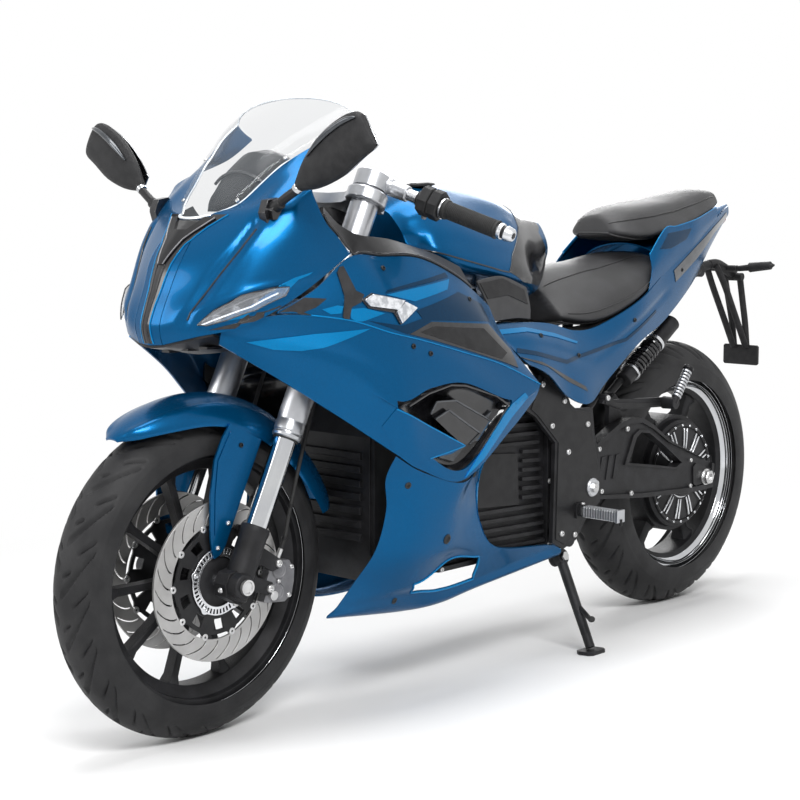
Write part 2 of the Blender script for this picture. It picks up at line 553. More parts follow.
TAIL = [
  [[845, 188, 718], [750, 172, 718], [640, 163, 710], [547, 160, 690], [454, 156, 696],
    [303, 151, 742], [167, 124, 800], [0, 95, 862], [-120, 68, 915], [-225, 32, 943]],
  [[830, 205, 690], [742, 200, 690], [640, 190, 670], [550, 178, 650], [448, 165, 662],
    [305, 153, 712], [168, 125, 765], [0, 98, 830], [-120, 67, 888], [-225, 33, 925]],
  [[803, 218, 660], [725, 212, 650], [628, 195, 630], [540, 182, 600], [440, 164, 620],
    [300, 150, 680], [165, 122, 725], [0, 92, 795], [-118, 60, 860], [-222, 28, 915]],
  [[778, 224, 640], [700, 214, 612], [610, 192, 560], [520, 180, 536], [430, 158, 575],
    [300, 146, 646], [160, 118, 690], [5, 85, 765], [-110, 52, 840], [-200, 22, 905]]
]
TAIL_TOP = [
  [168, 120, 803, 862], [100, 110, 830, 878], [0, 92, 864, 899], [-90, 72, 904, 923],
  [-165, 52, 931, 942], [-225, 30, 945, 950]
]
FENDER = [
  [30, 322, 14, 318], [36, 326, 46, 306], [48, 328, 64, 290], [64, 330, 71, 280], [80, 330, 72.4, 270],
  [98, 328, 72.6, 262], [118, 326, 72.4, 262], [136, 326, 64, 280]
]
GUARD = [[100, 262], [106, 190], [56, 62], [32, 32], [18, 60], [18, 90], [-4, 90], [-4, 110], [18, 110],
  [18, 262]]
HOSE = [[-106, 82, 122], [-100, 80, 160], [-84, 80, 260], [-70, 76, 400], [-62, 66, 470], [-60, 60, 519.2]]
LAMP = [
  [[1513, 99, 751], [1480, 132, 765], [1441, 160, 786], [1400, 181, 810]],
  [[1508, 103, 757], [1474, 137, 779], [1436, 163, 800], [1398, 183, 814]]
]
SPAR = [[1105, 30, 838], [1010, 112, 748], [640, 126, 640], [545, 130, 500], [560, 130, 250]]
PLATE = [[681, 608], [560, 529], [500, 524], [492, 470], [470, 400], [470, 320], [510, 300], [552, 249],
  [595, 236], [632, 254], [626, 463], [692, 523], [721, 538]]
REAR_RAIL = [[584, 126, 601.6], [430, 126, 668], [150, 80, 742], [-100, 30, 790]]

nose_grid = grid(NOSE, 12, 8)
wing_grid = grid(WING, 12, 12)
shoulder_grid = grid(SHOULDER, 12, 8)[:, 12:]
belly_grid = grid(BELLY, 9, 8)
tail_grid = grid(TAIL, 8, 8)
nose_grid = crease(nose_grid, NOSE_FOCUS, [[1419, 134, 921], [1451, 124, 880], [1483, 107, 835], [1510, 94, 793],
                                           [1531, 80, 757]], 9, -7.0)
nose_grid = crease(nose_grid, NOSE_FOCUS, [[1410, 152, 915], [1438, 143, 880], [1468, 128, 838], [1492, 114, 800]],
                   9, 2.2)
nose_grid = crease(nose_grid, NOSE_FOCUS, [[1520, 92, 772], [1476, 138, 797], [1419, 176, 816], [1320, 196, 834]],
                   7, 3.0)
wing_grid = crease(wing_grid, SIDE_FOCUS, [[1485, 122, 731], [1395, 165, 722], [1285, 222, 690], [1200, 256, 640]],
                   12, -3.0)
tail_grid = crease(tail_grid, SIDE_FOCUS, [[830, 205, 676], [742, 200, 672], [640, 190, 655], [520, 178, 628],
                                           [448, 160, 640], [305, 150, 695], [168, 124, 748]], 9, -3.0)
NOSE_SKIN, WING_SKIN, SHOULDER_SKIN = outer_tree(nose_grid), outer_tree(wing_grid), outer_tree(shoulder_grid)
BELLY_SKIN, TAIL_SKIN = outer_tree(belly_grid), outer_tree(tail_grid)

b = Build("nose_cowl_look", "chassis")
b.sheet(nose_grid, PANEL_T, NOSE_FOCUS, BLUE)
b.tube(line_on(NOSE_SKIN, [(143, 912), (131, 875), (108, 827), (92, 789), (81, 758)], 0.0, "x"), 1.9, GLOSS, 8, 1)
b.patch(NOSE_SKIN, [(106, 750), (151, 762), (181, 797), (196, 833), (196, 838), (186, 820), (160, 784), (130, 760)],
        BRIGHT, 1.2, 2, "x")
b.patch(NOSE_SKIN, [(112, 742), (150, 745), (178, 760), (192, 786), (190, 792), (176, 776), (150, 756)], GLOSS, 1.0, 2, "x")
b.done(["nose_cowl"], 1.0, 40, mirror=True)

# Headlamps: a black housing, two bright projectors, a light strip and the clear cover
LENS_EDGE = [(100, 752), (121, 776), (152, 801), (183, 816), (187, 816), (183, 800), (163, 777), (135, 760), (112, 751)]
b = Build("headlamps", "chassis")
b.patch(NOSE_SKIN, LENS_EDGE, GLOSS, 1.0, 3.0, "x", 5)
for y, z, r in ((124, 763, 7.5), (146, 777, 6.5), (164, 791, 4.5)):
    q, n = on_face(NOSE_SKIN, y, z, "x")
    b.lathe([(0.2, 2.6), (r * 0.55, 2.2), (r * 0.6, 3.6), (r, 4.4), (r + 0.8, 2.5), (r + 0.8, 0.5), (0.2, 0.5)], CHROME,
            q, n, 28)
    b.lathe([(0.2, 4.2), (r * 0.3, 3.9), (r * 0.5, 2.6), (0.2, 2.4)], LENS, q, n, 20)
b.tube(line_on(NOSE_SKIN, [(104, 751), (136, 768), (160, 782), (180, 804)], 3.4, "x"), 1.3, LIGHT, 8, 1)
b.tube(line_on(NOSE_SKIN, [(106, 758), (146, 786), (180, 811)], 3.0, "x"), 1.0, CHROME, 8, 1)
b.patch(NOSE_SKIN, LENS_EDGE, LENS, 8.6, 2.0, "x", 5)
b.tube(line_on(NOSE_SKIN, LENS_EDGE + LENS_EDGE[:1], 7.2, "x"), 1.2, GLOSS, 8, 1)
b.done(["front_lamps"], 0.0, 30, mirror=True)

# Middle stripe, chin with its grille, and the trim at the screen's foot
coarse = grid(NOSE, 3, 2)
stripe = [[[p[0] + 5 + i / 2, 0, p[2] - 2], p] for i, p in enumerate(coarse[0:9, 0] - V(0, 1.2, 0))]


def across(R):
    return [[[x, -y, z] for x, y, z in r[:0:-1]] + [list(p) for p in r] for r in R]


stripe_grid = grid(across(stripe), 8, 6, sharp_cols=(1,))
b = Build("nose_stripe", "chassis")
b.sheet(stripe_grid, PANEL_T, NOSE_FOCUS, BLUE)
STRIPE_SKIN = outer_tree(stripe_grid)
FRONT = [stripe_grid, nose_grid, nose_grid[:, ::-1] * V(1, -1, 1)]
FRONT_SKIN = BVHTree.FromPolygons(
    [tuple(p) for G in FRONT for p in G.reshape(-1, 3)],
    [[k + i * G.shape[1] + j, k + (i + 1) * G.shape[1] + j, k + (i + 1) * G.shape[1] + j + 1, k + i * G.shape[1] + j + 1]
     for k, G in zip((0, stripe_grid[..., 0].size, stripe_grid[..., 0].size + nose_grid[..., 0].size), FRONT)
     for i in range(G.shape[0] - 1) for j in range(G.shape[1] - 1)])
half = [(12, 716), (11, 749), (13, 783), (17, 818), (21, 850), (30, 884), (52, 914), (76, 936)]
b.patch(FRONT_SKIN, [(-y, z) for y, z in half] + half[::-1], GLOSS, 1.0, 4, "x", 6)
for s in (-1, 1):
    b.tube(line_on(FRONT_SKIN, [(s * (y + 1), z) for y, z in half], 0.6, "x"), 1.5, BRIGHT, 8, 1)
    b.tube(line_on(FRONT_SKIN, [(s * (y * 0.45), z) for y, z in half[:5]], 1.0, "x"), 1.6, GLOSS, 8, 1)
vee = [(6, 850), (22, 892), (58, 929), (36, 930), (16, 908)]
b.patch(FRONT_SKIN, [(-y, z) for y, z in vee] + vee[::-1], SATIN, 4.0, 6, "x", 5)
for s in (-1, 1):
    b.tube(line_on(FRONT_SKIN, [(s * y, z) for y, z in vee[:3]], 3.8, "x"), 1.3, GREY, 8, 1)
chin_edge = [coarse[0, j] - V(1, 1, 4.3) for j in (0, 1, 3, 4)]
chin = [[stripe[0][0] - V(0, 0, 4.3)] + chin_edge,
        [[1440, 0, 690], [1438, 28, 692], [1430, 60, 696], [1422, 84, 702], [1410, 106, 712]]]
chin_grid = grid(across(chin), 4, 8)
b.sheet(chin_grid, PANEL_T, V(1470, 0, 9000), SATIN)
for k in range(5):
    y0 = -76 + k * 38
    x0 = 1500 - 0.28 * abs(y0)
    b.prism([(x0 - 44, y0 - 13), (x0 - 44, y0 + 13), (x0 + 6, y0 + 10), (x0 + 6, y0 - 10)],
            697.0 + abs(y0) * 0.12, 701.5 + abs(y0) * 0.12, GLOSS, "xy")
b.done(["nose_trim"], 0.7, 35)

# Screen with a bright bevel, black foot and screws
rows = [[[m_x + (x - m_x) * (1 - math.cos(a)), y * math.sin(a), m_z + (z - m_z) * (1 - math.cos(a))]
         for a in np.radians(np.arange(-90, 91, 5))] for x, y, z, m_x, m_z in SCREEN]
screen_grid = np.array([smooth(c, 6) for c in np.array(rows, float).transpose(1, 0, 2)]).transpose(1, 0, 2)
b = Build("windscreen_look", "chassis")
b.sheet(screen_grid, 3.0, NOSE_FOCUS, GLASS)
edge = [screen_grid[i, -1] - 1.6 * unit(screen_grid[i, -1] - NOSE_FOCUS) for i in range(screen_grid.shape[0])]
b.tube(edge, 1.9, CLEAR, 8, 1)
b.tube([p * V(1, -1, 1) for p in edge], 1.9, CLEAR, 8, 1)
b.tube([p - 1.6 * unit(p - NOSE_FOCUS) for p in screen_grid[-1]], 1.9, CLEAR, 8, 1)
b.tube([p - 0.5 * unit(p - NOSE_FOCUS) for p in screen_grid[0]], 2.6, CLEAR, 8, 1)
for i in (12, 26):
    for s in (1, -1):
        p = screen_grid[i, -3] * V(1, s, 1)
        b.bolt(p, unit(p - NOSE_FOCUS), 4.0, STEEL)
b.done(["windscreen"], 0.0, 30)

# Side fairings
b = Build("side_fairing_look", "chassis")
b.sheet(wing_grid, PANEL_T, SIDE_FOCUS, BLUE, [(12, 24, 36, 72)])
b.sheet(shoulder_grid, PANEL_T, SIDE_FOCUS, BLUE)
for shape, mat, out in (
        ([(1398, 770), (1353, 794), (1315, 791), (1336, 777), (1388, 758)], GLOSS, 1.2),
        ([(1240, 750), (1167, 738), (1110, 748), (1124, 763), (985, 790), (900, 762), (890, 730), (1085, 743), (1154, 722)],
         NAVY, 1.0),
        ([(1327, 773), (1299, 779), (1288, 777), (1294, 765), (1313, 764)], BRIGHT, 1.6),
        ([(1276, 772), (1249, 773), (1205, 762), (1248, 751), (1266, 748), (1278, 756)], BRIGHT, 1.6),
        ([(1196, 794), (1002, 814), (1020, 796), (1125, 779)], BRIGHT, 1.6),
        ([(1190, 802), (1010, 826), (1004, 818), (1196, 797)], NAVY, 2.2),
        ([(1285, 843), (1270, 846), (1259, 803), (1245, 796), (1253, 783), (1273, 775), (1283, 750), (1294, 753), (1283, 795)],
         GLOSS, 2.6),
        ([(1150, 722), (1086, 741), (904, 726), (835, 672), (826, 637), (872, 651), (998, 685), (1081, 706)], GLOSS, 1.8),
        ([(1120, 724), (1079, 732), (928, 719), (858, 668), (880, 658), (1001, 690)], MATT, 2.6)):
    b.patch(SHOULDER_SKIN, shape, mat, out, 3.5)
b.tube([p + 0.6 * unit(p - SIDE_FOCUS) for p in wing_grid[0, 18:]], 1.5, BRIGHT, 8, 1)
b.patch(WING_SKIN, [(1442, 719), (1338, 731), (1239, 737), (1287, 719), (1320, 706), (1354, 701), (1398, 705)], BRIGHT, 1.6, 3)
b.patch(WING_SKIN, [(1189, 592), (991, 503), (1030, 492), (1087, 489), (1134, 484), (1170, 510), (1205, 560)], BLUE, 1.0, 4.5)
b.tube(line_on(WING_SKIN, [(1189, 591), (991, 503), (1087, 489)], 0.2), 1.6, BRIGHT, 8, 1)
b.patch(WING_SKIN, [(812, 588), (858, 571), (880, 553), (935, 493), (978, 448), (984, 440), (930, 472), (880, 518),
                    (850, 545), (800, 578)], BRIGHT, 1.2, 3)
for x, z in ((1142, 700), (1098, 684)):
    q, n = on_face(WING_SKIN, x, z, "y")
    b.bolt(q, n, 5.0, SATIN)
for x, z in ((950, 775), (1180, 840)):
    q, n = on_face(SHOULDER_SKIN, x, z, "y")
    b.bolt(q, n, 5.0, SATIN)
b.done(["side_fairing_left", "side_fairing_right"], 1.0, 40, mirror=True)

# Front indicators in the shoulder panels
LAMP_EDGE = [(1252, 787), (1230, 798), (1156, 782), (1124, 768), (1172, 740), (1186, 762), (1240, 772)]
b = Build("front_indicators", "chassis")
b.patch(SHOULDER_SKIN, LAMP_EDGE, GLOSS, 3.5, 5, "y", 6)
b.patch(SHOULDER_SKIN, [(1249, 786), (1230, 795), (1158, 781), (1178, 766), (1239, 775)], CRYSTAL, 9.0, 5.5, "y", 5)
b.patch(SHOULDER_SKIN, [(1156, 779), (1127, 767), (1172, 742), (1182, 764)], CRYSTAL, 8.0, 4.5, "y", 5)
b.done([], 0.5, 30, mirror=True)

# Vents: a deep bowl with two nested blades

def rise(i, a, c):
    return 0 if i <= a or i >= c else math.sin(math.pi * (i - a) / (c - a))


bowl = np.array([[wing_grid[i, j] + (PANEL_T + 2 * FIT) * unit(SIDE_FOCUS - wing_grid[i, j])
                  - V(0, 30 * (rise(i, 12, 24) * rise(j, 36, 72)) ** 0.4, 0)
                  for j in range(33, 76)] for i in range(9, 28)])
BOWL_SKIN = outer_tree(bowl)
b = Build("vents_look", "chassis")
b.sheet(bowl, PANEL_T, SIDE_FOCUS, GLOSS)
for low, plate in ((-11, [(1087, 570), (1073, 592), (1018, 590), (907, 540), (935, 505), (975, 503), (1000, 515)]),
                   (-4, [(1081, 562), (1044, 575), (947, 522), (975, 503), (1000, 508)])):
    b.patch(WING_SKIN, plate, GLOSS, low, 3)
    b.tube(line_on(WING_SKIN, plate[:4], low + 0.5), 1.8, SILVERY, 8, 1)
b.patch(BOWL_SKIN, [(1040, 482), (1000, 500), (930, 540), (900, 560), (905, 548), (960, 500), (1000, 470)], SILVERY, 6, 5)
b.tube(line_on(WING_SKIN, [(1160, 594), (1106, 612), (1045, 622), (1003, 618), (905, 590), (868, 569), (882, 549), (935, 492),
                           (974, 452)], -3.0), 2.4, GLOSS, 8, 1)
b.done(["fairing_vents"], 0.8, 35, mirror=True)

# Belly pans
b = Build("belly_look", "chassis")
b.sheet(belly_grid, PANEL_T, V(900, 0, 420), BLUE, [(32, 40, 9, 27)])
slot = [belly_grid[32, j] for j in range(9, 28)] + [belly_grid[i, 27] for i in range(33, 40)] \
    + [belly_grid[40, j] for j in range(27, 8, -1)] + [belly_grid[i, 9] for i in range(39, 31, -1)]
b.tube(slot, 2.2, BRIGHT, 8, 1)
for x, z, r in ((1004, 322, 8.5), (940, 440, 5), (1120, 440, 5), (1080, 205, 5)):
    q, n = on_face(BELLY_SKIN, x, z, "y")
    b.lathe([(0.3, -1), (r, -1), (r + 1.5, 0.8), (r, 2), (r * 0.62, 2.4), (r * 0.5, 0.8), (0.3, 0.8)], RUBBER, q, n, 28)
b.patch(BELLY_SKIN, [(886, 494), (912, 452), (905, 405), (893, 350), (830, 276), (824, 282), (880, 352), (892, 405),
                     (898, 450), (876, 488)], BRIGHT, 1.4, 3)
b.done(["belly_pan_left", "belly_pan_right"], 1.0, 40, mirror=True)

# Cockpit edge, knee panels, tail sides
cock = [[coarse[i, 12] - V(6.5, 0.5, 0) for i in (7, 6, 4, 2)]
        + [grid(SHOULDER, 3, 2)[0, 9] + V(-10, -1.2, 4.6)]
        + [grid(SHOULDER, 3, 2)[0, j] + V(0, -1.2, 4.4) for j in range(10, 20)],
        smooth([[1292, 176, 950], [1262, 180, 922], [1215, 179, 902], [1170, 172, 896], [1110, 162, 890],
                [1050, 163, 876], [985, 167, 858], [925, 172, 834]], 2)]
cock_grid = grid(cock, 4, 6)
knee_grid = grid(KNEE, 12, 10)
b = Build("cockpit_look", "chassis")
b.sheet(cock_grid, PANEL_T, V(1100, 150, -5000), SATIN)
b.tube(cock_grid[0], 2.4, GLOSS, 8, 1)
b.done(["cockpit_trim"], 0.8, 35, mirror=True)
b = Build("knee_look", "chassis")
b.sheet(knee_grid, PANEL_T, SIDE_FOCUS, RIBBED)
KNEE_SKIN = outer_tree(knee_grid)
b.patch(KNEE_SKIN, [(884, 802), (800, 808), (720, 782), (712, 752), (790, 774), (862, 770)], MATT, 1.6, 3)
b.done(["knee_panels"], 1.0, 35, mirror=True)

b = Build("tail_look", "chassis")
b.sheet(tail_grid, PANEL_T, SIDE_FOCUS, BLUE)
b.patch(TAIL_SKIN, [(800, 672), (739, 662), (616, 635), (362, 663), (220, 716), (220, 710), (362, 656), (616, 627), (740, 654),
                    (806, 664)], NAVY, 1.4, 3)
b.patch(TAIL_SKIN, [(838, 700), (742, 700), (640, 682), (560, 664), (556, 668), (640, 690), (742, 708), (838, 709)],
        BRIGHT, 1.6, 3)
b.patch(TAIL_SKIN, [(800, 655), (725, 640), (628, 606), (540, 574), (528, 562), (610, 590), (700, 628), (786, 650)],
        GLOSS, 1.6, 3)
b.patch(TAIL_SKIN, [(130, 800), (20, 848), (-100, 896), (-200, 928), (-206, 915), (-100, 880), (15, 822), (120, 774)],
        SILVERY, 1.6, 3)
for x, z in ((560, 640), (700, 690), (330, 700), (90, 800)):
    q, n = on_face(TAIL_SKIN, x, z, "y")
    b.bolt(q, n, 5.0, SATIN)
b.done(["tail_left", "tail_right"], 1.0, 40, mirror=True)

top = smooth(TAIL_TOP, 6)
top_grid = np.array([[[x, y * math.sin(a), z + (m_z - z) * math.cos(a)] for a in np.radians(np.arange(-90, 91, 7.5))]
                     for x, y, z, m_z in top])
b = Build("tail_top_look", "chassis")
b.sheet(top_grid, PANEL_T, TAIL_FOCUS, BLUE)
b.done(["tail_cowl"], 1.0, 40)

def loop_rings(T, ku, kv):
    R = [ring_smooth([[x, y, z] for y, z in H] + [[x, -y, z] for y, z in H[-2:0:-1]], ku) for x, H in T]
    R = np.array(R)
    return np.array([smooth(R[:, j], kv) for j in range(R.shape[1])]).transpose(1, 0, 2)


# Tank cover with a scooped side, a seam and the filler lid
tank = loop_rings(TANK, 8, 10)
for line, w, h in (([[980, 128, 868], [890, 150, 856], [790, 152, 830], [690, 138, 800]], 10, -3.5),
                   ([[985, 92, 926], [890, 118, 936], [790, 122, 922], [700, 104, 914]], 12, 3.0)):
    for s in (1, -1):
        P = tank.reshape(-1, 3)
        L = smooth(np.array(line, float) * V(1, s, 1), 6)
        d = np.min(np.linalg.norm(P[:, None] - L[None], axis=2), axis=1)
        c = V(0, 0, 860) * V(0, 0, 1) + P * V(1, 0, 0)
        P = P + (h * np.exp(-(d / w) ** 2))[:, None] * unit(P - c)
        tank = P.reshape(tank.shape)
b = Build("tank_look", "chassis")
b.rings(tank, BLUE)
TANK_SKIN = BVHTree.FromPolygons([tuple(p) for p in tank.reshape(-1, 3)],
                                 [[i * tank.shape[1] + j, i * tank.shape[1] + (j + 1) % tank.shape[1],
                                   (i + 1) * tank.shape[1] + (j + 1) % tank.shape[1], (i + 1) * tank.shape[1] + j]
                                  for i in range(tank.shape[0] - 1) for j in range(tank.shape[1])])
q, n = on_face(TANK_SKIN, 860, 0, "z")
b.lathe([(0.3, -2), (36, -2), (36, 2.2), (33, 4), (30, 3.2), (29, 4.6), (0.3, 5.4)], SATIN, q, n, 48)
for k in range(6):
    t = math.radians(60 * k)
    b.bolt(q + 33.2 * V(math.cos(t), math.sin(t), 0) + 2.4 * n, n, 2.6, STEEL)
b.lathe([(0.3, 4.5), (7, 4.5), (7, 6.4), (5, 7), (0.3, 7)], CHROME, q + V(10, 0, 0), n, 24)
b.patch(TANK_SKIN, [(668, 104), (640, 60), (632, 0), (640, -60), (668, -104), (590, -92), (535, -50), (535, 50), (590, 92)],
        GLOSS, 1.4, 3, "z", 8)
b.done(["tank_cover"], 0.6, 40)
b = Build("tank_trim", "chassis")
b.patch(TANK_SKIN, [(662, 906), (735, 852), (762, 818), (706, 797), (620, 784), (550, 810), (538, 860), (560, 900), (600, 922)],
        GLOSS, 1.4, 3, "y", 8)
b.tube(line_on(TANK_SKIN, [(990, 868), (900, 846), (790, 822), (764, 818), (737, 852), (664, 906)], 0.6), 1.6, GLOSS, 8, 1)
b.done([], 0.3, 35, mirror=True)


def cushion(name, T, node, rest, seam_at, dips):
    """A padded seat: rounded rings, a welt around its base and stitched seams, softened by subdivision."""
    R = loop_rings(T, 4, 5)
    n, m = R.shape[:2]
    mid = R.mean(axis=1, keepdims=True)
    for i in range(n):
        for lo, hi, depth in dips:
            w = math.exp(-((R[i, 0, 0] - (lo + hi) / 2) / ((hi - lo) / 2)) ** 2)
            up = np.clip((R[i, :, 2] - mid[i, 0, 2]) / 30, 0, 1) * np.exp(-(R[i, :, 1] / 90) ** 2)
            R[i, :, 2] -= depth * w * up
    v = R.reshape(-1, 3).copy()
    wob = np.sin(v[:, 0] * 0.045 + v[:, 1] * 0.06) * np.cos(v[:, 1] * 0.05 - v[:, 0] * 0.02)
    inside = v[:, 2] > np.repeat(mid[:, 0, 2], m) - 4
    v[inside] += (0.9 * wob[inside])[:, None] * V(0, 0, 1)
    b = Build(name, "chassis")
    b.rings(v.reshape(n, m, 3), SEAT)
    for f in seam_at:
        k = int(f * m)
        for idx in (k, m - k):
            line = [v.reshape(n, m, 3)[i, idx % m] for i in range(2, n - 2)]
            out = [p + 0.4 * unit(p - mid[min(i + 2, n - 1), 0]) for i, p in enumerate(line)]
            b.tube(out, 1.5, SEAT, 6, 1)
    welt = int(0.36 * m)
    ring = [v.reshape(n, m, 3)[i, welt] for i in range(1, n - 1)] + [v.reshape(n, m, 3)[i, m - welt]
                                                                    for i in range(n - 2, 0, -1)]
    b.tube(np.array(ring + ring[:1]), 2.6, SEAT, 8, 2)
    o = b.done([node], 0.0, 60, subdiv=1)
    return o


cushion("rider_seat_look", SEAT_ROWS, "rider_seat", None, (0.12, 0.25), [(240, 440, 7)])
NOSE_ROW = [276, [[0, 918], [22, 913], [38, 899], [42, 890], [24, 884], [0, 882]]]
cushion("pillion_seat_look", [*PILLION, NOSE_ROW], "pillion_seat", None, (0.16,), [(-20, 160, 4)])

# Base that closes the gap between the rider's seat and the tail covers
b = Build("seat_base", "chassis")
b.sheet(grid([
    [[640, 159, 707], [547, 156, 687], [454, 152, 693], [303, 147, 739], [235, 136, 768]],
    [[640, 128, 701], [547, 124, 690], [454, 126, 693], [303, 122, 733], [235, 112, 762]],
    [[640, 98, 697], [547, 92, 694], [454, 100, 693], [303, 98, 727], [235, 88, 757]]], 4, 6), 3, V(440, 0, 300), SATIN)
b.done([], 0.6, 35, mirror=True)

# Instruments: hooded housing with a dark glass and a lit dial ring
b = Build("instruments", "chassis")
arch = lambda x, w, lo, hi: [V(x, w * math.cos(a), lo + (hi - lo) * math.sin(a)) for a in np.radians(np.arange(0, 181, 10))]
b.rings(np.array([arch(*q) for q in ((1350, 66, 940, 962), (1344, 72, 944, 990), (1322, 76, 950, 1026), (1296, 76, 956, 1048),
                                     (1264, 74, 962, 1052), (1234, 68, 966, 1046), (1236, 62, 970, 1038))]), SATIN)
b.tube([V(1330, -66, 990), V(1334, -40, 1004), V(1336, 0, 1012), V(1334, 40, 1004), V(1330, 66, 990)], 3.0, GLOSS, 10, 4)
face = unit(V(-1, 0, 0.35))
b.lathe([(0.3, 0), (36, 0), (36, 3), (33, 4.5), (31, 2.6), (0.3, 2.6)], GLOSS, V(1236, 0, 994), face, 40)
b.lathe([(24, 2.7), (27, 2.7), (27, 3.3), (24, 3.3)], LIGHT, V(1236, 0, 994), face, 40, closed=True, a0=-130, a1=130)
for s in (-1, 1):
    b.lathe([(0.3, 0), (17, 0), (17, 2.5), (15, 3.4), (14, 2), (0.3, 2)], GLOSS, V(1234, s * 54, 990), face, 28)
b.rod(V(1262, 0, 906), V(1262, 0, 960), 9, CAST)
b.done(["instrument_panel"], 2.0, 30)

# Mirrors: mount, arm with a collar, faceted shell with a lamp strip, glass on the rider's side
b = Build("mirrors_look", "chassis")
b.prism([(1368, 925), (1406, 922), (1412, 940), (1404, 962), (1380, 966), (1366, 944)], 139, 156, GLOSS)
b.prism([(1374, 930), (1400, 928), (1404, 944), (1396, 958), (1380, 958)], 150, 166, GLOSS)
b.rod(V(1390, 150, 946), V(1391, 176, 957), 13, SATIN, 10, 20, 2)
b.tube([[1391, 168, 954], [1390, 185, 965], [1386, 209, 979], [1385, 222, 990]], 8.0, SATIN, 16, 4)
b.rod(V(1386, 207, 978), V(1385.6, 214, 984), 9.6, CHROME, 9.6, 20, 1)
shell = []
for t, y, z, wide, tall, deep in ((0, 206, 978, 7, 7, 7), (0.08, 216, 988, 13, 13, 9), (0.25, 246, 1008, 24, 31, 15),
                                  (0.5, 290, 1036, 29, 43, 19), (0.75, 332, 1062, 25, 42, 18), (0.92, 360, 1074, 20, 38, 15),
                                  (1.0, 371, 1077, 14, 30, 9)):
    ring = []
    for a in np.radians(np.arange(0, 360, 18)):
        c, s = math.cos(a), math.sin(a)
        c, s = math.copysign(abs(c) ** 0.8, c), math.copysign(abs(s) ** 0.8, s)
        across_dir = unit(V(0, -0.52, 0.85))
        ring.append(V(1384 - t * 8, y, z) + V(1, 0, 0) * (deep if c > 0 else 0.42 * deep) * c + across_dir * tall * s)
    shell.append(ring)
shell = np.array(shell)
shell = np.array([smooth(shell[:, j], 4) for j in range(shell.shape[1])]).transpose(1, 0, 2)
b.rings(shell, MATT)
glass = [shell[i, 10] for i in range(4, shell.shape[0] - 2)]
ring = np.array([V(1366.5, 0, 0) + (p - V(p[0], 0, 0)) for p in [*shell[5:-2, 7], *shell[5:-2, 13][::-1]]])
b.add(np.concatenate([ring, ring - V(2.5, 0, 0)]),
      [list(range(len(ring))), list(range(2 * len(ring) - 1, len(ring) - 1, -1))]
      + [[i, (i + 1) % len(ring), (i + 1) % len(ring) + len(ring), i + len(ring)] for i in range(len(ring))], CHROME)
strip = [shell[i, 2] + V(2.0, 0, 0.5) for i in range(9, shell.shape[0] - 3)]
b.tube(strip, 5.4, SILVERY, 10, 1, scale=(0.3, 1, 1, 0.9, 0.3))
b.done(["mirrors"], 0.8, 28, mirror=True)

def inside(p, poly):
    x, y = p
    hit = False
    for (ax, ay), (cx, cy) in zip(poly, np.roll(poly, -1, 0)):
        if (ay > y) != (cy > y) and x < (cx - ax) * (y - ay) / (cy - ay) + ax:
            hit = not hit
    return hit


def cut_plate(self, outline, holes, at0, at1, mat):
    """A plate with holes: at0 and at1 put the outline's points on its two faces."""
    loops = [np.asarray(outline, float)] + [np.asarray(h, float) for h in holes]
    pts, edges = [], []
    for L in loops:
        k = len(pts)
        pts += [Vector(p) for p in L]
        edges += [(k + i, k + (i + 1) % len(L)) for i in range(len(L))]
    flat, _, faces = delaunay_2d_cdt(pts, edges, [], 1, 1e-5)[:3]
    P = np.array([tuple(p) for p in flat])
    faces = [list(f) for f in faces if not any(inside(P[list(f)].mean(axis=0), h) for h in loops[1:])]
    used, n = {}, len(P)
    for f in faces:
        for i in range(len(f)):
            used[(f[i], f[(i + 1) % len(f)])] = True
    rim = [e for e in used if (e[1], e[0]) not in used]
    self.add(np.array([at0(p) for p in P] + [at1(p) for p in P]),
             faces + [[i + n for i in reversed(f)] for f in faces] + [[a, a + n, c + n, c] for a, c in rim], mat)


Build.cut_plate = cut_plate


def polar(r, deg):
    return V(r * math.cos(math.radians(deg)), r * math.sin(math.radians(deg)))


def ring_sector(r0, r1, a0, a1, lean=0.0, n=5):
    """Outline of a slot between two radii and two angles."""
    A = np.linspace(a0, a1, n)
    return [polar(r0, a) for a in A] + [polar(r1, a + lean) for a in A[::-1]]


def wheel_at(o, y):
    return lambda p: V(o[0] + p[0], o[1] + y, o[2] + p[1])


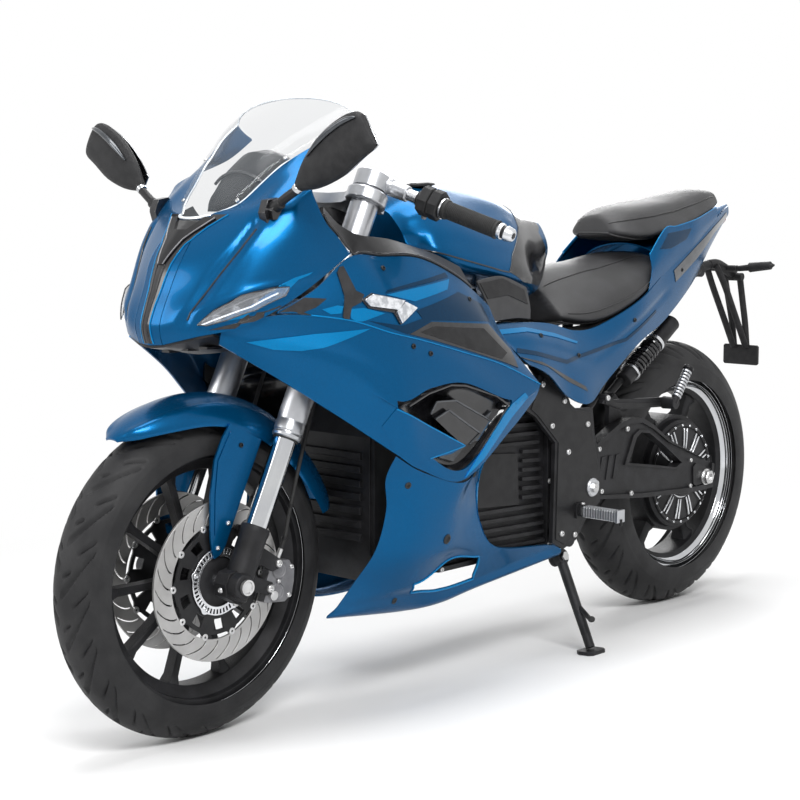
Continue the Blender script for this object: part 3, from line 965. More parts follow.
def tyre(name, body, node, o, R, w, bead, pitches, turn):
    """Road tyre: long slanted grooves and short sipes cut in a smooth crown."""
    rc = 0.53 * w
    a = np.linspace(-100, 100, 73)
    th = np.linspace(0, 360, 600, endpoint=False)
    A, T = np.meshgrid(np.radians(a), th)
    s = np.degrees(A) / 62.0
    u = np.abs(s)
    side = np.where(s < 0, 0.5, 0.0)
    phase = (T / 360 * pitches + side) % 1.0
    dist = lambda c: np.abs((phase - c + 0.5) % 1.0 - 0.5)
    fade = lambda lo, hi: np.clip((u - lo) / 0.06, 0, 1) * np.clip((hi - u) / 0.08, 0, 1)
    cut = np.maximum.reduce([
        np.clip(1.6 - dist(0.1 + 1.05 * u ** 1.35) / (0.055 + 0.015 * (1 - u)), 0, 1) * fade(0.05, 0.97),
        np.clip(1.6 - dist(0.55 + 0.8 * u) / 0.036, 0, 1) * fade(0.45, 0.92),
        np.clip(1.6 - dist(0.42 + 0.5 * u) / 0.032, 0, 1) * fade(0.1, 0.38)])
    wear = 0.25 * np.sin(T * 7) * (u > 1.15)
    r = R - rc + rc * np.cos(A) - 5.0 * cut + wear
    h = w / 2 * np.sin(A)
    ridge = (np.abs(np.degrees(A)) > 70) & (np.abs(np.degrees(A)) < 73)
    h = h + np.sign(A) * 0.7 * ridge
    inner = [(239, -bead - 5), (234, -bead + 0.3), (222, -bead + 0.3), (222, bead - 0.3), (234, bead - 0.3),
             (239, bead + 5)]
    r = np.concatenate([r, np.array([[p[0] for p in inner[::-1]]] * len(th))], axis=1)
    h = np.concatenate([h, np.array([[p[1] for p in inner[::-1]]] * len(th))], axis=1)
    tt = np.radians(np.meshgrid(np.zeros(r.shape[1]), th)[1])
    P = np.stack([o[0] + r * np.cos(tt), o[1] + h, o[2] + r * np.sin(tt)], axis=-1)
    b = Build(name, body)
    b.rings(P, TYRE, caps=False, closed=True)
    return b.done([node], 0.0, 32)


tyre("front_tyre_look", "front_wheel", "front_tyre", HUB, FRONT_R, FRONT_W, 38, 20, 0)
tyre("rear_tyre_look", "rear_wheel", "rear_tyre", REAR_HUB, REAR_R, REAR_W, 50, 21, 0)


def rim(name, body, node, o, bead, spokes, hub_r, hub_h, bore, thin, motor=None):
    b = Build(name, body)
    ax = V(0, 1, 0)
    f = 5
    prof = [(217, -bead - f), (232, -bead - f), (232.5, -bead - f + 3), (232, -bead), (221.7, -bead), (221.7, -bead + 8),
            (200, -bead + 20), (200, bead - 20), (221.7, bead - 8), (221.7, bead), (232, bead), (232.5, bead + f - 3),
            (232, bead + f), (217, bead + f), (215, bead - 5), (205, bead - 12), (195, bead - 19), (194, bead - 24),
            (194, -bead + 24), (195, -bead + 19), (205, -bead + 12), (215, -bead + 5)]
    b.lathe(prof, CAST, o, ax, 144, closed=True)
    for s in (-1, 1):
        b.lathe([(231.6, s * (bead + f - 2.2)), (232.9, s * (bead + f - 1)), (231.5, s * (bead + f + 0.5)),
                 (228.6, s * (bead + f + 0.5)), (228.4, s * (bead + f - 0.4))], CHROME, o, ax, 144, closed=True)
        if motor:
            b.lathe([(218, s * (bead + f - 0.4)), (218, s * (bead + f + 0.6)), (227.6, s * (bead + f + 0.6)),
                     (227.6, s * (bead + f - 0.4))], CHROME, o, ax, 144, closed=True)
            b.lathe([(216.2, s * (bead + f - 3)), (214.4, s * (bead - 4)), (204.6, s * (bead - 11.2)),
                     (204.6, s * (bead - 12.6)), (213.8, s * (bead - 6)), (215.4, s * (bead + f - 4))], CHROME, o, ax, 144,
                    closed=True)
    if motor:
        b.lathe([(motor + 0.3, -40), (motor + 10, -40), (motor + 10, 40), (motor + 0.3, 40)], CAST, o, ax, 96, closed=True)
    else:
        b.lathe([(bore, -hub_h / 2), (hub_r, -hub_h / 2), (hub_r, -hub_h / 2 + 8), (hub_r - 6, -hub_h / 2 + 16),
                 (hub_r - 6, hub_h / 2 - 16), (hub_r, hub_h / 2 - 8), (hub_r, hub_h / 2), (bore, hub_h / 2)],
                CAST, o, ax, 72, closed=True)
    for k in range(spokes):
        c = 360 / spokes * k
        sec = []
        for r, w, d, y in thin:
            e, t = polar(r, c), unit(polar(1, c + 90))
            box = [(-w, -d), (-w * 0.6, -d - 2.5), (w * 0.6, -d - 2.5), (w, -d), (w, d), (w * 0.6, d + 2.5),
                   (-w * 0.6, d + 2.5), (-w, d)]
            sec.append([V(o[0] + e[0] + t[0] * p, y + q, o[2] + e[1] + t[1] * p) for p, q in box])
        b.rings(np.array(sec), CAST)
    q = polar(200, 36 if spokes == 10 else 30)
    b.rod(V(o[0] + q[0], 0, o[2] + q[1]), V(o[0] + q[0] * 0.86, 6, o[2] + q[1] * 0.86), 4, STEEL, 3, 12)
    b.done([node], 0.8, 40)


rim("front_rim_look", "front_wheel", "front_rim", HUB, 38, 10, 36, 123, 9.3,
    [(33, 11, 18, 0), (60, 8, 14, 0), (120, 6.5, 11.5, 0), (180, 7.5, 12, 0), (196, 12, 15, 0)])
rim("rear_rim_look", "rear_wheel", "rear_rim", REAR_HUB, 50, 6, 138, 80, 128.3,
    [(134, 19, 24, 0), (150, 13, 17, 0), (180, 12, 15, 0), (196, 22, 20, 0)], motor=128)

# Front discs: waved ring with curved slots, black carrier with buttons, notched sensor ring
b = Build("discs_look", "front_wheel")
for s in (-1, 1):
    y0 = s * 64
    wave = [polar(144, a) for a in np.arange(0, 360, 2)]
    inner = [polar(104, a) for a in np.arange(0, 360, 2)]
    radii = np.linspace(108, 140.5, 7)
    bow = lambda r, a: polar(r, a + 16 * ((r - 108) / 32) ** 1.6)
    slots = [[bow(r, a) for r in radii] + [bow(r, a + 1.5) for r in radii[::-1]] for a in np.arange(0, 360, 15)]
    b.cut_plate(wave, [inner] + slots, wheel_at(HUB, y0 - 2.4), wheel_at(HUB, y0 + 2.4), DISC)
    outer = [polar(96 + 7.5 * max(0, math.cos(math.radians(a * 10))) ** 2, a) for a in np.arange(0, 360, 2)]
    windows = [ring_sector(68, 88, a + 11, a + 26, -1, 5) for a in np.arange(0, 360, 36)]
    hub = [polar(40, a) for a in np.arange(0, 360, 5)]
    b.cut_plate(outer, [hub] + windows, wheel_at(HUB, y0 - 2.2 + 0.8 * s), wheel_at(HUB, y0 + 2.2 + 0.8 * s), SATIN)
    b.lathe([(9.5, -2.4), (41, -2.4), (46, 0), (41, 2.4 + 1.5), (9.5, 2.4 + 1.5)] if s > 0 else
            [(9.5, 2.4), (41, 2.4), (46, 0), (41, -3.9), (9.5, -3.9)], CAST, HUB + V(0, y0, 0), V(0, 1, 0), 60, closed=True)
    for k in range(10):
        q = polar(101.5, 36 * k)
        b.lathe([(2.2, -3.8), (6.4, -3.4), (6.8, 0), (6.4, 3.4), (2.2, 3.8)], STEEL,
                V(HUB[0] + q[0], y0, HUB[2] + q[1]), V(0, 1, 0), 20, closed=True)
    for k in range(5):
        q = polar(56, 72 * k + 18)
        b.bolt(V(HUB[0] + q[0], y0 + s * 3.5, HUB[2] + q[1]), V(0, s, 0), 5.4, ALLOY, 4.5)
# Sensor ring with five arms on the left
lobes = [polar(61 + 4.5 * max(0, math.cos(math.radians((a - 18) * 5))) ** 6, a) for a in np.arange(0, 360, 1.5)]
teeth = [ring_sector(50, 58, a, a + 4, 0, 3) for a in np.arange(2, 360, 8)]
b.cut_plate(lobes, [[polar(45, a) for a in np.arange(0, 360, 4)]] + teeth, wheel_at(HUB, 69.0), wheel_at(HUB, 71.0), ALLOY)
b.done(["front_discs"], 0.5, 40)

# Front axle and its nuts
b = Build("front_axle_look", "steering", fork)
for s in (-1, 1):
    b.lathe([(5, 142), (9, 142), (13.5, 141), (14, 147.6), (11, 147.6), (10, 145), (5, 145)], STEEL, V(0, 0, 0),
            V(0, s, 0), 6 * 6)
    b.rod(V(0, s * 66, 0), V(0, s * 82, 0), 12, ALLOY, 12, 32, 1)
b.rod(V(0, -142, 0), V(0, 142, 0), 9, STEEL, 9, 32)
b.done(["front_axle"], 0.4, 30)

# Stanchions and outer tubes with their seals, collars and rings
b = Build("stanchion_look", "steering", fork)
for s in (-1, 1):
    b.rod(V(LEG_X, s * FORK_Y, 90), V(LEG_X, s * FORK_Y, 336), 20.5, CHROME, 20.5, 48)
b.done(["stanchions"], 0.0, 30)
b = Build("fork_tube_look", "steering", fork)
for s in (-1, 1):
    b.lathe([(20.9, 277), (24, 277), (26.5, 279), (27.0, 284), (26.0, 286), (26.0, 289), (27.3, 290), (27.3, 306),
             (26.4, 308), (26.4, 311), (27, 313), (27, 519.5), (27, 745), (27, 772), (24, 772), (20.9, 770)], SILVER,
            V(LEG_X, s * FORK_Y, 0), V(0, 0, 1), 64, closed=True)
    b.lathe([(20.7, 274.5), (23.6, 274.5), (23.6, 277), (20.7, 277)], RUBBER, V(LEG_X, s * FORK_Y, 0), V(0, 0, 1), 48,
            closed=True)
b.done(["fork_tubes"], 0.4, 30)

b = Build("fork_lower_look", "steering", fork)
for s in (-1, 1):
    c = V(LEG_X, s * FORK_Y, 0)
    b.lathe([(20.9, 110), (25.5, 110), (26.5, 106), (26.5, 98), (25.4, 94), (25.4, 30), (26.5, -20), (22, -26), (2, -26),
             (2, 86), (20.9, 89)], CAST, c, V(0, 0, 1), 48, closed=True)
    b.rod(V(0, s * (FORK_Y - 1), 0), V(0, s * (FORK_Y + 36), 0), 24, CAST, 22, 48, 2)
    b.prism([(-26, -30), (14, -27), (26, -8), (24, 14), (8, 26), (-12, 40), (-30, 30), (-34, 0)], s * 86, s * 118, CAST)
    b.prism([(LEG_X - 4, 84), (-40, 84), (-101, 76), (-106, 62), (-92, 50), (-60, 52), (-36, 40), (-60, 30), (-100, 32),
             (-107, 18), (-98, 6), (-60, 4), (-30, -4), (LEG_X, 0)], s * 87, s * 97, CAST)
    for x, z in ((-98, 68), (-98, 20)):
        b.bolt(V(x, s * 97, z), V(0, s, 0), 8, STEEL)
    b.bolt(V(24, s * 108, -18), V(1, 0, -0.6), 5, STEEL)
    b.bolt(V(-16, s * 112, -31), V(0, 0, -1), 5, STEEL)
    b.rod(V(-22, s * 98, 96), V(-36, s * 98, 100), 7, CAST, 6, 16, 1)
b.done(["fork_lowers"], 1.5, 35)

# Calipers
b = Build("calipers_look", "steering", fork)
ca = math.radians(162)
rad, tan = V(math.cos(ca), 0, math.sin(ca)), V(-math.sin(ca), 0, math.cos(ca))
put = lambda s: (lambda p: p[0] * rad + p[2] * tan + V(0, s * 64 + p[1], 0))
for s in (-1, 1):
    f = put(s)
    for side in (-1, 1):
        block = [(98, -38), (104, -40), (150, -38), (166, -24), (168, 0), (166, 24), (150, 38), (104, 40), (98, 38),
                 (104, 16), (100, 0), (104, -16)]
        y0, y1 = (5.0, 21.5) if side > 0 else (-21.5, -5.0)
        b.prism(block, y0, y1, GREY, "xz", lambda v, f=f: f(v))
        for z in (-20, 20):
            b.lathe([(0.5, 21), (17, 21), (17, 22.2), (14.5, 24.8), (13, 23.6), (9, 23.6), (8, 22.8), (0.5, 22.8)], GREY,
                    f(V(128, 0, z)), V(0, side, 0), 32)
            b.bolt(f(V(158, side * 21.3, z * 1.3)), V(0, side, 0), 5, STEEL)
        b.bolt(f(V(128, side * 23, 0)), V(0, side, 0), 4.5, STEEL)
    for z in (-30, 0, 30):
        b.rod(f(V(160, -10, z)), f(V(160, 10, z)), 7, GREY, 7, 20, 1)
    b.rod(f(V(118, s * 14, 26)), f(V(118, s * 27.5, 26)), 7, STEEL, 7, 6)
    b.lathe([(3, 0), (9, 0), (9, 6), (3, 6)], STEEL, f(V(118, s * 21, 26)), V(0, s, 0), 24, closed=True)
b.done(["brake_calipers"], 1.0, 35)

# Fender with its guards
ff = smooth(FENDER, 8)
fender = np.array([[V(math.cos(math.radians(q[0])), 0, math.sin(math.radians(q[0])))
                    * (q[3] + (q[1] - q[3]) * math.cos(math.radians(a))) + V(0, q[2] * math.sin(math.radians(a)), 0)
                    for a in np.arange(-90, 91, 5)] for q in ff])
for s in (1, -1):
    line = [V(math.cos(math.radians(q[0])), 0, math.sin(math.radians(q[0]))) * (q[3] + (q[1] - q[3]) * 0.62)
            + V(0, s * q[2] * 0.78, 0) for q in ff[6:-2:4]]
    fender = crease(fender, V(0, 0, 0), line, 9, 3.2)
b = Build("fender_look", "steering", fork)
b.sheet(fender, PANEL_T, V(0, 0, 0), BLUE)
guard = [[100, 262], [106, 230], [106, 190], [88, 130], [56, 62], [44, 44], [32, 32], [22, 44], [18, 60], [18, 262]]
for s in (-1, 1):
    b.prism(guard, s * 71.8, s * 75.8, BLUE)
    b.prism([(94, 250), (99, 192), (80, 136), (50, 70), (56, 100), (76, 150), (84, 200), (82, 252)], s * 75.6, s * 77.4,
            BLUE)
    for x, z in ((30, 100), (34, 52)):
        b.bolt(V(x, s * 75.8, z), V(0, s, 0), 4.6, ALLOY)
    b.bolt(V(60, s * 75.8, 236), V(0, s, 0), 4.6, SATIN)
    b.rod(V(3, s * 72.8, 100), V(3, s * 78.3, 100), 6, SATIN)
b.done(["front_fender"], 0.8, 35)

# Hoses with crimped ends
b = Build("hoses_look", "steering", fork)
hose = smooth([V(-110, 77, 77), V(-109, 79.5, 98), *HOSE], 10)     # from the caliper up to the lower clamp
for s in (-1, 1):
    P = hose * V(1, s, 1)
    b.tube(P, 3.8, RUBBER, 14, 1)
    for p, d in ((P[0], P[2] - P[0]), (P[-1], P[-3] - P[-1])):
        b.rod(p, p + 20 * unit(d), 4.8, STEEL, 4.6, 16, 0.6)
    for i in (18, 32):
        b.rod(P[i] - 3 * unit(P[i + 1] - P[i]), P[i] + 3 * unit(P[i + 1] - P[i]), 5.4, SATIN, 5.4, 16, 0.8)
b.done(["brake_hoses"], 0.0, 35)

# Clamps, clip-on bars, grips, switches and levers, in the fork frame
b = Build("clamps_look", "steering", fork)
for z0, t in ((740, 26), (520, 26)):
    for s in (-1, 1):
        c = V(LEG_X, s * FORK_Y, z0)
        b.lathe([(27.4, 0), (36, 0), (39, 3), (39, t - 3), (36, t), (27.4, t)], SILVER, c, V(0, 0, 1), 56, closed=True)
        b.prism([(LEG_X - 36, s * (FORK_Y + 6)), (LEG_X - 50, s * (FORK_Y + 4)), (LEG_X - 50, s * (FORK_Y - 16)),
                 (LEG_X - 30, s * (FORK_Y - 20))], z0 + 3, z0 + t - 3, SILVER, "xy")
        b.bolt(V(LEG_X - 42, s * (FORK_Y + 5), z0 + t / 2), V(0, s, 0), 5, STEEL)
    b.prism([(LEG_X - 22, 76), (LEG_X - 36, 50), (AXIS_X - 20, 22), (AXIS_X - 28, 0), (AXIS_X - 20, -22),
             (LEG_X - 36, -50), (LEG_X - 22, -76), (LEG_X + 20, -78), (LEG_X + 6, -46), (LEG_X + 2, 0), (LEG_X + 6, 46),
             (LEG_X + 20, 78)], z0 + 2, z0 + t - 2, SILVER, "xy")
b.rod(V(AXIS_X, 0, 500), V(AXIS_X, 0, 766), 15, STEEL, 15, 32)
for z in (553, 713):
    b.rod(V(AXIS_X, 0, z), V(AXIS_X, 0, z + 22), 25.8, STEEL, 25.8, 48)
b.rod(V(AXIS_X, 0, 746), V(AXIS_X, 0, 766), 28, SILVER, 28, 48)
b.lathe([(4, 764), (20, 764), (20, 772), (17, 775), (4, 775)], CHROME, V(AXIS_X, 0, 0), V(0, 0, 1), 6, closed=True)
b.done(["fork_clamps"], 1.2, 35)

bar_a, bar_b = V(LEG_X - 20, FORK_Y + 20, FORK_LEN + 16), V(LEG_X - 110, 348, FORK_LEN - 30)
on_bar = lambda t: bar_a + (bar_b - bar_a) * t
bar_dir = unit(bar_b - bar_a)
b = Build("clip_ons", "steering", fork)
for s in (1, -1):
    m = V(1, s, 1)
    c = V(LEG_X, s * FORK_Y, 0)
    b.lathe([(27.4, 772.5), (33, 770), (33, 800), (30, 802), (27.4, 802)], SILVER, c, V(0, 0, 1), 56, closed=True)
    b.lathe([(3, 796), (21, 796), (21, 803), (18, 806), (8, 806), (7, 803), (3, 803)], SILVER, c, V(0, 0, 1), 40, closed=True)
    b.lathe([(3, 803), (7, 803), (7, 808), (5.5, 809), (3, 809)], CHROME, c, V(0, 0, 1), 6, closed=True)
    b.tube([c + V(-10, s * 14, 788), c + V(-20, s * 26, 789), (bar_a + bar_dir * 8) * m], 15, SILVER, 20, 6,
           scale=(1.0, 1.05, 1.15))
    b.rod((bar_a - bar_dir * 2) * m, (bar_a + bar_dir * 48) * m, 16, SILVER, 15, 32, 1.5)
    b.rod((bar_a + bar_dir * 40) * m, bar_b * m, 11, ALLOY, 11, 32, 1)
    b.bolt(c + V(-30, s * 14, 787), V(-1, s * 0.4, 0), 4.5, STEEL)
    e = bar_b - bar_dir * 2
    b.rod(e * m, (e + bar_dir * 8) * m, 15, ALLOY, 15, 32, 1)
    b.rod((e + bar_dir * 8) * m, (e + bar_dir * 13) * m, 12, SATIN, 12, 32, 0.5)
    b.rod((e + bar_dir * 13) * m, (e + bar_dir * 30) * m, 14.5, ALLOY, 12, 32, 2)
    b.rod((e + bar_dir * 30) * m, (e + bar_dir * 31) * m, 6, SATIN, 6, 6)
b.done(["handlebars"], 0.8, 35)

b = Build("grips_look", "steering", fork)
for s in (1, -1):
    m = V(1, s, 1)
    L = np.linalg.norm(bar_b - bar_a)
    prof = [(11.2, 0.52 * L), (18.5, 0.52 * L), (19, 0.53 * L), (18.5, 0.545 * L)]
    for k in range(28):
        z = (0.55 + k * 0.0145) * L
        prof += [(16.6, z), (16.6, z + 1.8), (15.4, z + 2.4), (15.4, z + 3.1)]
    prof += [(16.6, 0.96 * L), (17.5, 0.965 * L), (17.5, 0.978 * L), (11.2, 0.98 * L)]
    o = bar_a * m
    b.lathe(prof, RUBBER, o, bar_dir * m, 32, closed=True)
    b.lathe([(11.3, 0.503 * L), (20, 0.503 * L), (20, 0.516 * L), (11.3, 0.516 * L)], ALLOY, o, bar_dir * m, 40, closed=True)
b.done(["grips"], 0.0, 40)

b = Build("controls_look", "steering", fork)
bu = unit(np.cross(bar_dir, V(0, 0, 1)))
bw = np.cross(bar_dir, bu)
for s in (1, -1):
    m = V(1, s, 1)
    fr = lambda a, x, z: (on_bar(0) + bar_dir * a + bu * x + bw * z) * m
    for a0, a1 in ((78, 99), (99.6, 121)):
        out = [(-22, -18), (-16, -27), (10, -28), (22, -18), (24, 8), (14, 24), (-12, 25), (-23, 12)]
        b.rings(np.array([[fr(a, x * q, z * q) for x, z in out] for a, q in ((a0, 0.9), (a0 + 2, 1), (a1 - 2, 1), (a1, 0.92))]),
                MATT)
    for k, (x, z, c) in enumerate(((-20, 14, RED), (-24, 0, MATT), (-22, -13, ORANGE))):
        b.rod(fr(106, x * 0.8, z * 0.8), fr(106, x * 1.25, z * 1.25), 5, c if s < 0 else MATT, 4.4, 16, 0.6)
    b.rod(fr(88, -16, 18), fr(88, -22, 26), 6, GREY, 5, 16, 0.8)
    for x, z in ((15, -20), (-13, -22)):
        b.bolt(fr(110, x, z), (bw * m) * -1, 3, STEEL)
    b.rod(fr(70, 0, 0), fr(78, 0, 0), 15, CAST, 15, 32, 1)
    if s < 0:
        p0, p1, p2, p3 = fr(74, 12, -4), fr(74, 40, -8), fr(150, 52, -6), fr(212, 50, -4)
        b.tube([fr(72, 8, 0), p0, p1], 8, CAST, 14, 4)
        b.tube([p1, fr(100, 50, -8), p2, p3], 5.4, SILVER, 12, 5, scale=(1.1, 1, 0.8, 0.75, 0.7), flat=(bw * m, 0.6))
        b.rod(p3 - 2 * bu * m, p3 + 6 * bar_dir * m, 6, SILVER, 6, 20, 2)
        b.bolt(fr(78, 40, -13), bw * m * -1, 6, STEEL)
        b.box(*(np.sort(np.array([fr(40, 6, 12), fr(72, 34, 34)]), axis=0)), SATIN)
b.done(["controls"], 0.9, 35)

# Main frame
b = Build("frame_look", "chassis")
for s in (1, -1):
    m = V(1, s, 1)
    sp = np.array(SPAR, float) * m
    b.tube(sp, 22, CAST, 20, 6, sharp=(2,), scale=(0.95, 1, 1.0, 1, 0.9))
    b.prism(PLATE, s * 163, s * 173, CAST)
    b.prism([(668, 603), (572, 527), (508, 516), (500, 466), (480, 398), (480, 326), (516, 308), (556, 258), (594, 246),
             (623, 260), (617, 462), (684, 524), (708, 540)], s * 172.6, s * 175, SATIN)
    b.rod(V(560, s * 130, 250), V(560, s * 164, 250), 16, CAST)
    b.rod(V(600, s * 128, 600), V(600, s * 164, 600), 14, CAST)
    b.lathe([(5, 150), (20, 150), (20, 177), (17, 180), (5, 180)], SILVER, V(500, 0, 355), V(0, s, 0), 40, closed=True)
    b.lathe([(1, 178), (11, 178), (11, 184), (9, 186), (1, 186)], STEEL, V(500, 0, 355), V(0, s, 0), 6, closed=True)
    for x, z in ((600, 548), (672, 588), (520, 492), (486, 362), (560, 262), (604, 270), (640, 500), (585, 440)):
        b.bolt(V(x, s * 174.6, z), V(0, s, 0), 6.5, STEEL)
    for a, c, r in (((985, 114, 750), (985, 227, 750), 7), ((706, 120, 660), (706, 198.9, 660), 7),
                    ((760, 110, 680), (760, 60, 779), 8), ((900, 110, 720), (900, 60, 794), 8)):
        b.rod(V(*a) * m, V(*c) * m, r, CAST, r, 20, 0.6)
b.rod(V(560, -130, 250), V(560, 130, 250), 16, CAST)
b.rod(V(500, -173, 355), V(500, 173, 355), 10, STEEL)
head = lambda z: fork(V(AXIS_X, 0, z))[0]
b.lathe([(26.1, 0), (34, 0), (36, 3), (36, 24), (33, 28), (33, 156), (36, 160), (36, 181), (34, 184), (26.1, 184)], CAST,
        head(552), head(600) - head(552), 56, closed=True)
b.rod(V(1135, 0, 885), V(1340, 0, 905), 14, CAST, 12, 24, 1)
b.rod(V(1340, -190.4, 905), V(1340, 190.4, 905), 9, CAST, 9, 20)
b.tube([[1095, 0, 860], [1112, 0, 872], [1135, 0, 885]], 18, CAST, 18, 5)
st, ct = math.sin(math.radians(18)), math.cos(math.radians(18))
pin = V(0, -ct, -st)
PIV = V(548, 128, 205)
b.rod(PIV + 10.3 * pin, PIV + 18.3 * pin, 18, CAST, 18, 32)
b.rod(PIV - 12 * pin, PIV + 16.6 * pin, 6, STEEL, 6, 20)
b.rod(PIV - 17 * pin, PIV - 11 * pin, 10, STEEL, 10, 6, 0.6)
up = np.cross(V(1, 0, 0), pin)
up = up if up[2] > 0 else -up
b.add([PIV + x * V(1, 0, 0) + 10.3 * pin + k * pin + h * up for x in (-11, 10) for k in (0, 8) for h in (0, 50)],
      [[0, 1, 3, 2], [4, 6, 7, 5], [0, 4, 5, 1], [2, 3, 7, 6], [0, 2, 6, 4], [1, 5, 7, 3]], CAST)
b.done(["main_frame"], 1.4, 35)

b = Build("subframe_look", "chassis")
for s in (1, -1):
    m = V(1, s, 1)
    b.tube(np.array(REAR_RAIL, float) * m, 12, CAST, 16, 6)
    b.tube(np.array([[515.5, 126, 473.7], [430, 126, 545], [300, 112, 690]]) * m, 12, CAST, 16, 6)
    b.rod(V(300, 100, 700) * m, V(300, 100, 729) * m, 10, CAST)
    b.prism([(330, 672), (300, 705), (262, 712), (292, 680)], s * 106, s * 116, CAST)
b.rod(V(430, -126, 668), V(430, 126, 668), 10, CAST)
b.rod(V(150, -80, 742), V(150, 80, 742), 10, CAST)
b.rod(V(-100, -42, 790), V(-100, 42, 790), 15, CAST)
b.rod(V(-100, 0, 790), V(-190, 0, 800), 12, CAST)
for y in (-50, 50):
    b.rod(V(430, y, 668), V(430, y, 693.2), 12, RUBBER)
    b.rod(V(150, y, 742), V(150, y, 782), 10, RUBBER)
b.done(["subframe"], 1.0, 35)

# Battery case: cast ends, slanted fins around a bare pad, cables
b = Build("battery_look", "chassis")
case = [(600, 235), (1100, 235), (1130, 300), (1130, 520), (1080, 585), (690, 585), (600, 520)]
b.prism(case, -130, 130, CAST)
for s in (1, -1):
    b.prism([(x + (4 if x < 900 else -4), z + (4 if z < 400 else -4)) for x, z in case], s * 129, s * 138, CAST)
    for k in range(16):
        z = 252 + k * 19
        x0, x1 = 624 + 2 * k, 950 - 3 * k
        if 330 < z < 460:
            b.prism([(x0, z), (700, z + 4), (700, z + 12), (x0, z + 8)], s * 137, s * 147, CAST)
            b.prism([(850, z + 8), (x1, z + 12), (x1, z + 20), (850, z + 16)], s * 137, s * 147, CAST)
        else:
            b.prism([(x0, z), (x1, z + 10), (x1, z + 18), (x0, z + 8)], s * 137, s * 147, CAST)
    b.prism([(706, 340), (846, 350), (836, 458), (712, 448)], s * 137, s * 143, SATIN)
    b.prism([(608, 240), (960, 240), (960, 250), (622, 250), (622, 512), (700, 576), (690, 580), (608, 516)], s * 137,
            s * 150, CAST)
    for x, z in ((615, 246), (780, 245), (950, 245), (615, 380), (616, 505), (694, 577)):
        b.bolt(V(x, s * 149.5, z), V(0, s, 0), 5.5, STEEL)
    b.rod(V(1050, s * 137, 300), V(1050, s * 195.9, 300), 8, CAST)
    b.rod(V(640, s * 137, 240), V(640, s * 152.3, 240), 6, CAST)
    b.rod(V(800, s * 112, 585.3), V(800, s * 112, 663), 12, CAST, 12, 28, 1)
for k in range(7):
    b.prism([(1129, 320 + k * 26), (1136, 322 + k * 26), (1136, 334 + k * 26), (1129, 336 + k * 26)], -110, 110, CAST)
for k, y in enumerate((-40, 0, 40)):
    b.tube([[880 + k * 20, y, 583], [880 + k * 20, y, 625], [800, y * 0.8, 648], [700, y * 0.7, 640], [660, y * 0.7, 584]], 7,
           ORANGE if k == 1 else RUBBER, 12, 6)
b.done(["battery_case"], 1.0, 35)

# Swingarm with its windows, recesses and adjusters
ARM = [[505, 327], [405, 312], [256, 296], [48, 283], [-30, 285], [-34, 340], [39, 369], [150, 415], [214, 456],
       [261, 478], [306, 480], [354, 469], [420, 440], [505, 383]]
WINDOW = [[307, 380], [279, 435], [260, 444], [229, 439], [165, 401], [100, 358], [124, 350], [219, 366]]
b = Build("swingarm_look", "chassis")
for s in (-1, 1):
    side = lambda y: (lambda p: V(p[0], s * y, p[1]))
    b.cut_plate(ARM, [WINDOW], side(106), side(126), CAST)
    rim_out = ring_smooth(ARM, 1)
    c = rim_out.mean(axis=0)
    inset = [list(c + (p - c) * V(0.965, 0.88)) for p in rim_out]
    b.cut_plate(ARM, [inset], side(125.8), side(132), CAST)
    w = np.array(WINDOW, float)
    wc = w.mean(axis=0)
    b.cut_plate([list(wc + (p - wc) * 1.16) for p in w], [WINDOW], side(125.8), side(130.5), CAST)
    b.prism([(-4, 318), (-26, 318), (-28, 330), (-4, 334), (40, 350), (52, 342), (50, 302), (40, 296), (-4, 300)],
            s * 126, s * 130, SATIN)
    b.lathe([(9.4, 129), (19, 129), (19, 132.5), (9.4, 132.5)], STEEL, REAR_HUB, V(0, s, 0), 36, closed=True)
    b.rod(V(-52, s * 116, 313), V(-34, s * 116, 313), 5.5, STEEL, 5.5, 20, 0.5)
    b.rod(V(-45, s * 116, 313), V(-40, s * 116, 313), 10, STEEL, 10, 6)
    for x, z, r in ((318, 458, 6.5), (300, 312, 6), (410, 330, 6), (420, 424, 6), (66, 300, 5), (66, 360, 5)):
        b.bolt(V(x, s * 131.6, z), V(0, s, 0), r, STEEL)
    for k in range(3):
        b.prism([(350 + 26 * k, 352), (364 + 26 * k, 352), (352 + 26 * k, 404), (338 + 26 * k, 404)], s * 125.8, s * 128.4,
                CAST)
    b.prism([(300, 470), (352, 465), (350, 520), (330, 536), (312, 520)], s * 94, s * 106, CAST)
b.rod(V(500, -150.5, 355), V(500, 150.5, 355), 28, CAST, 28, 48, 1)
b.done(["swingarm"], 1.6, 35)

b = Build("rear_axle_look", "chassis")
b.rod(V(0, -140, REAR_R), V(0, 140, REAR_R), 9, STEEL, 9, 32, 1)
for s in (-1, 1):
    b.lathe([(9.1, 132.6), (17, 132.6), (17, 142), (15, 144), (9.1, 144)], STEEL, REAR_HUB, V(0, s, 0), 6, closed=True)
b.done(["rear_axle"], 0.4, 30)

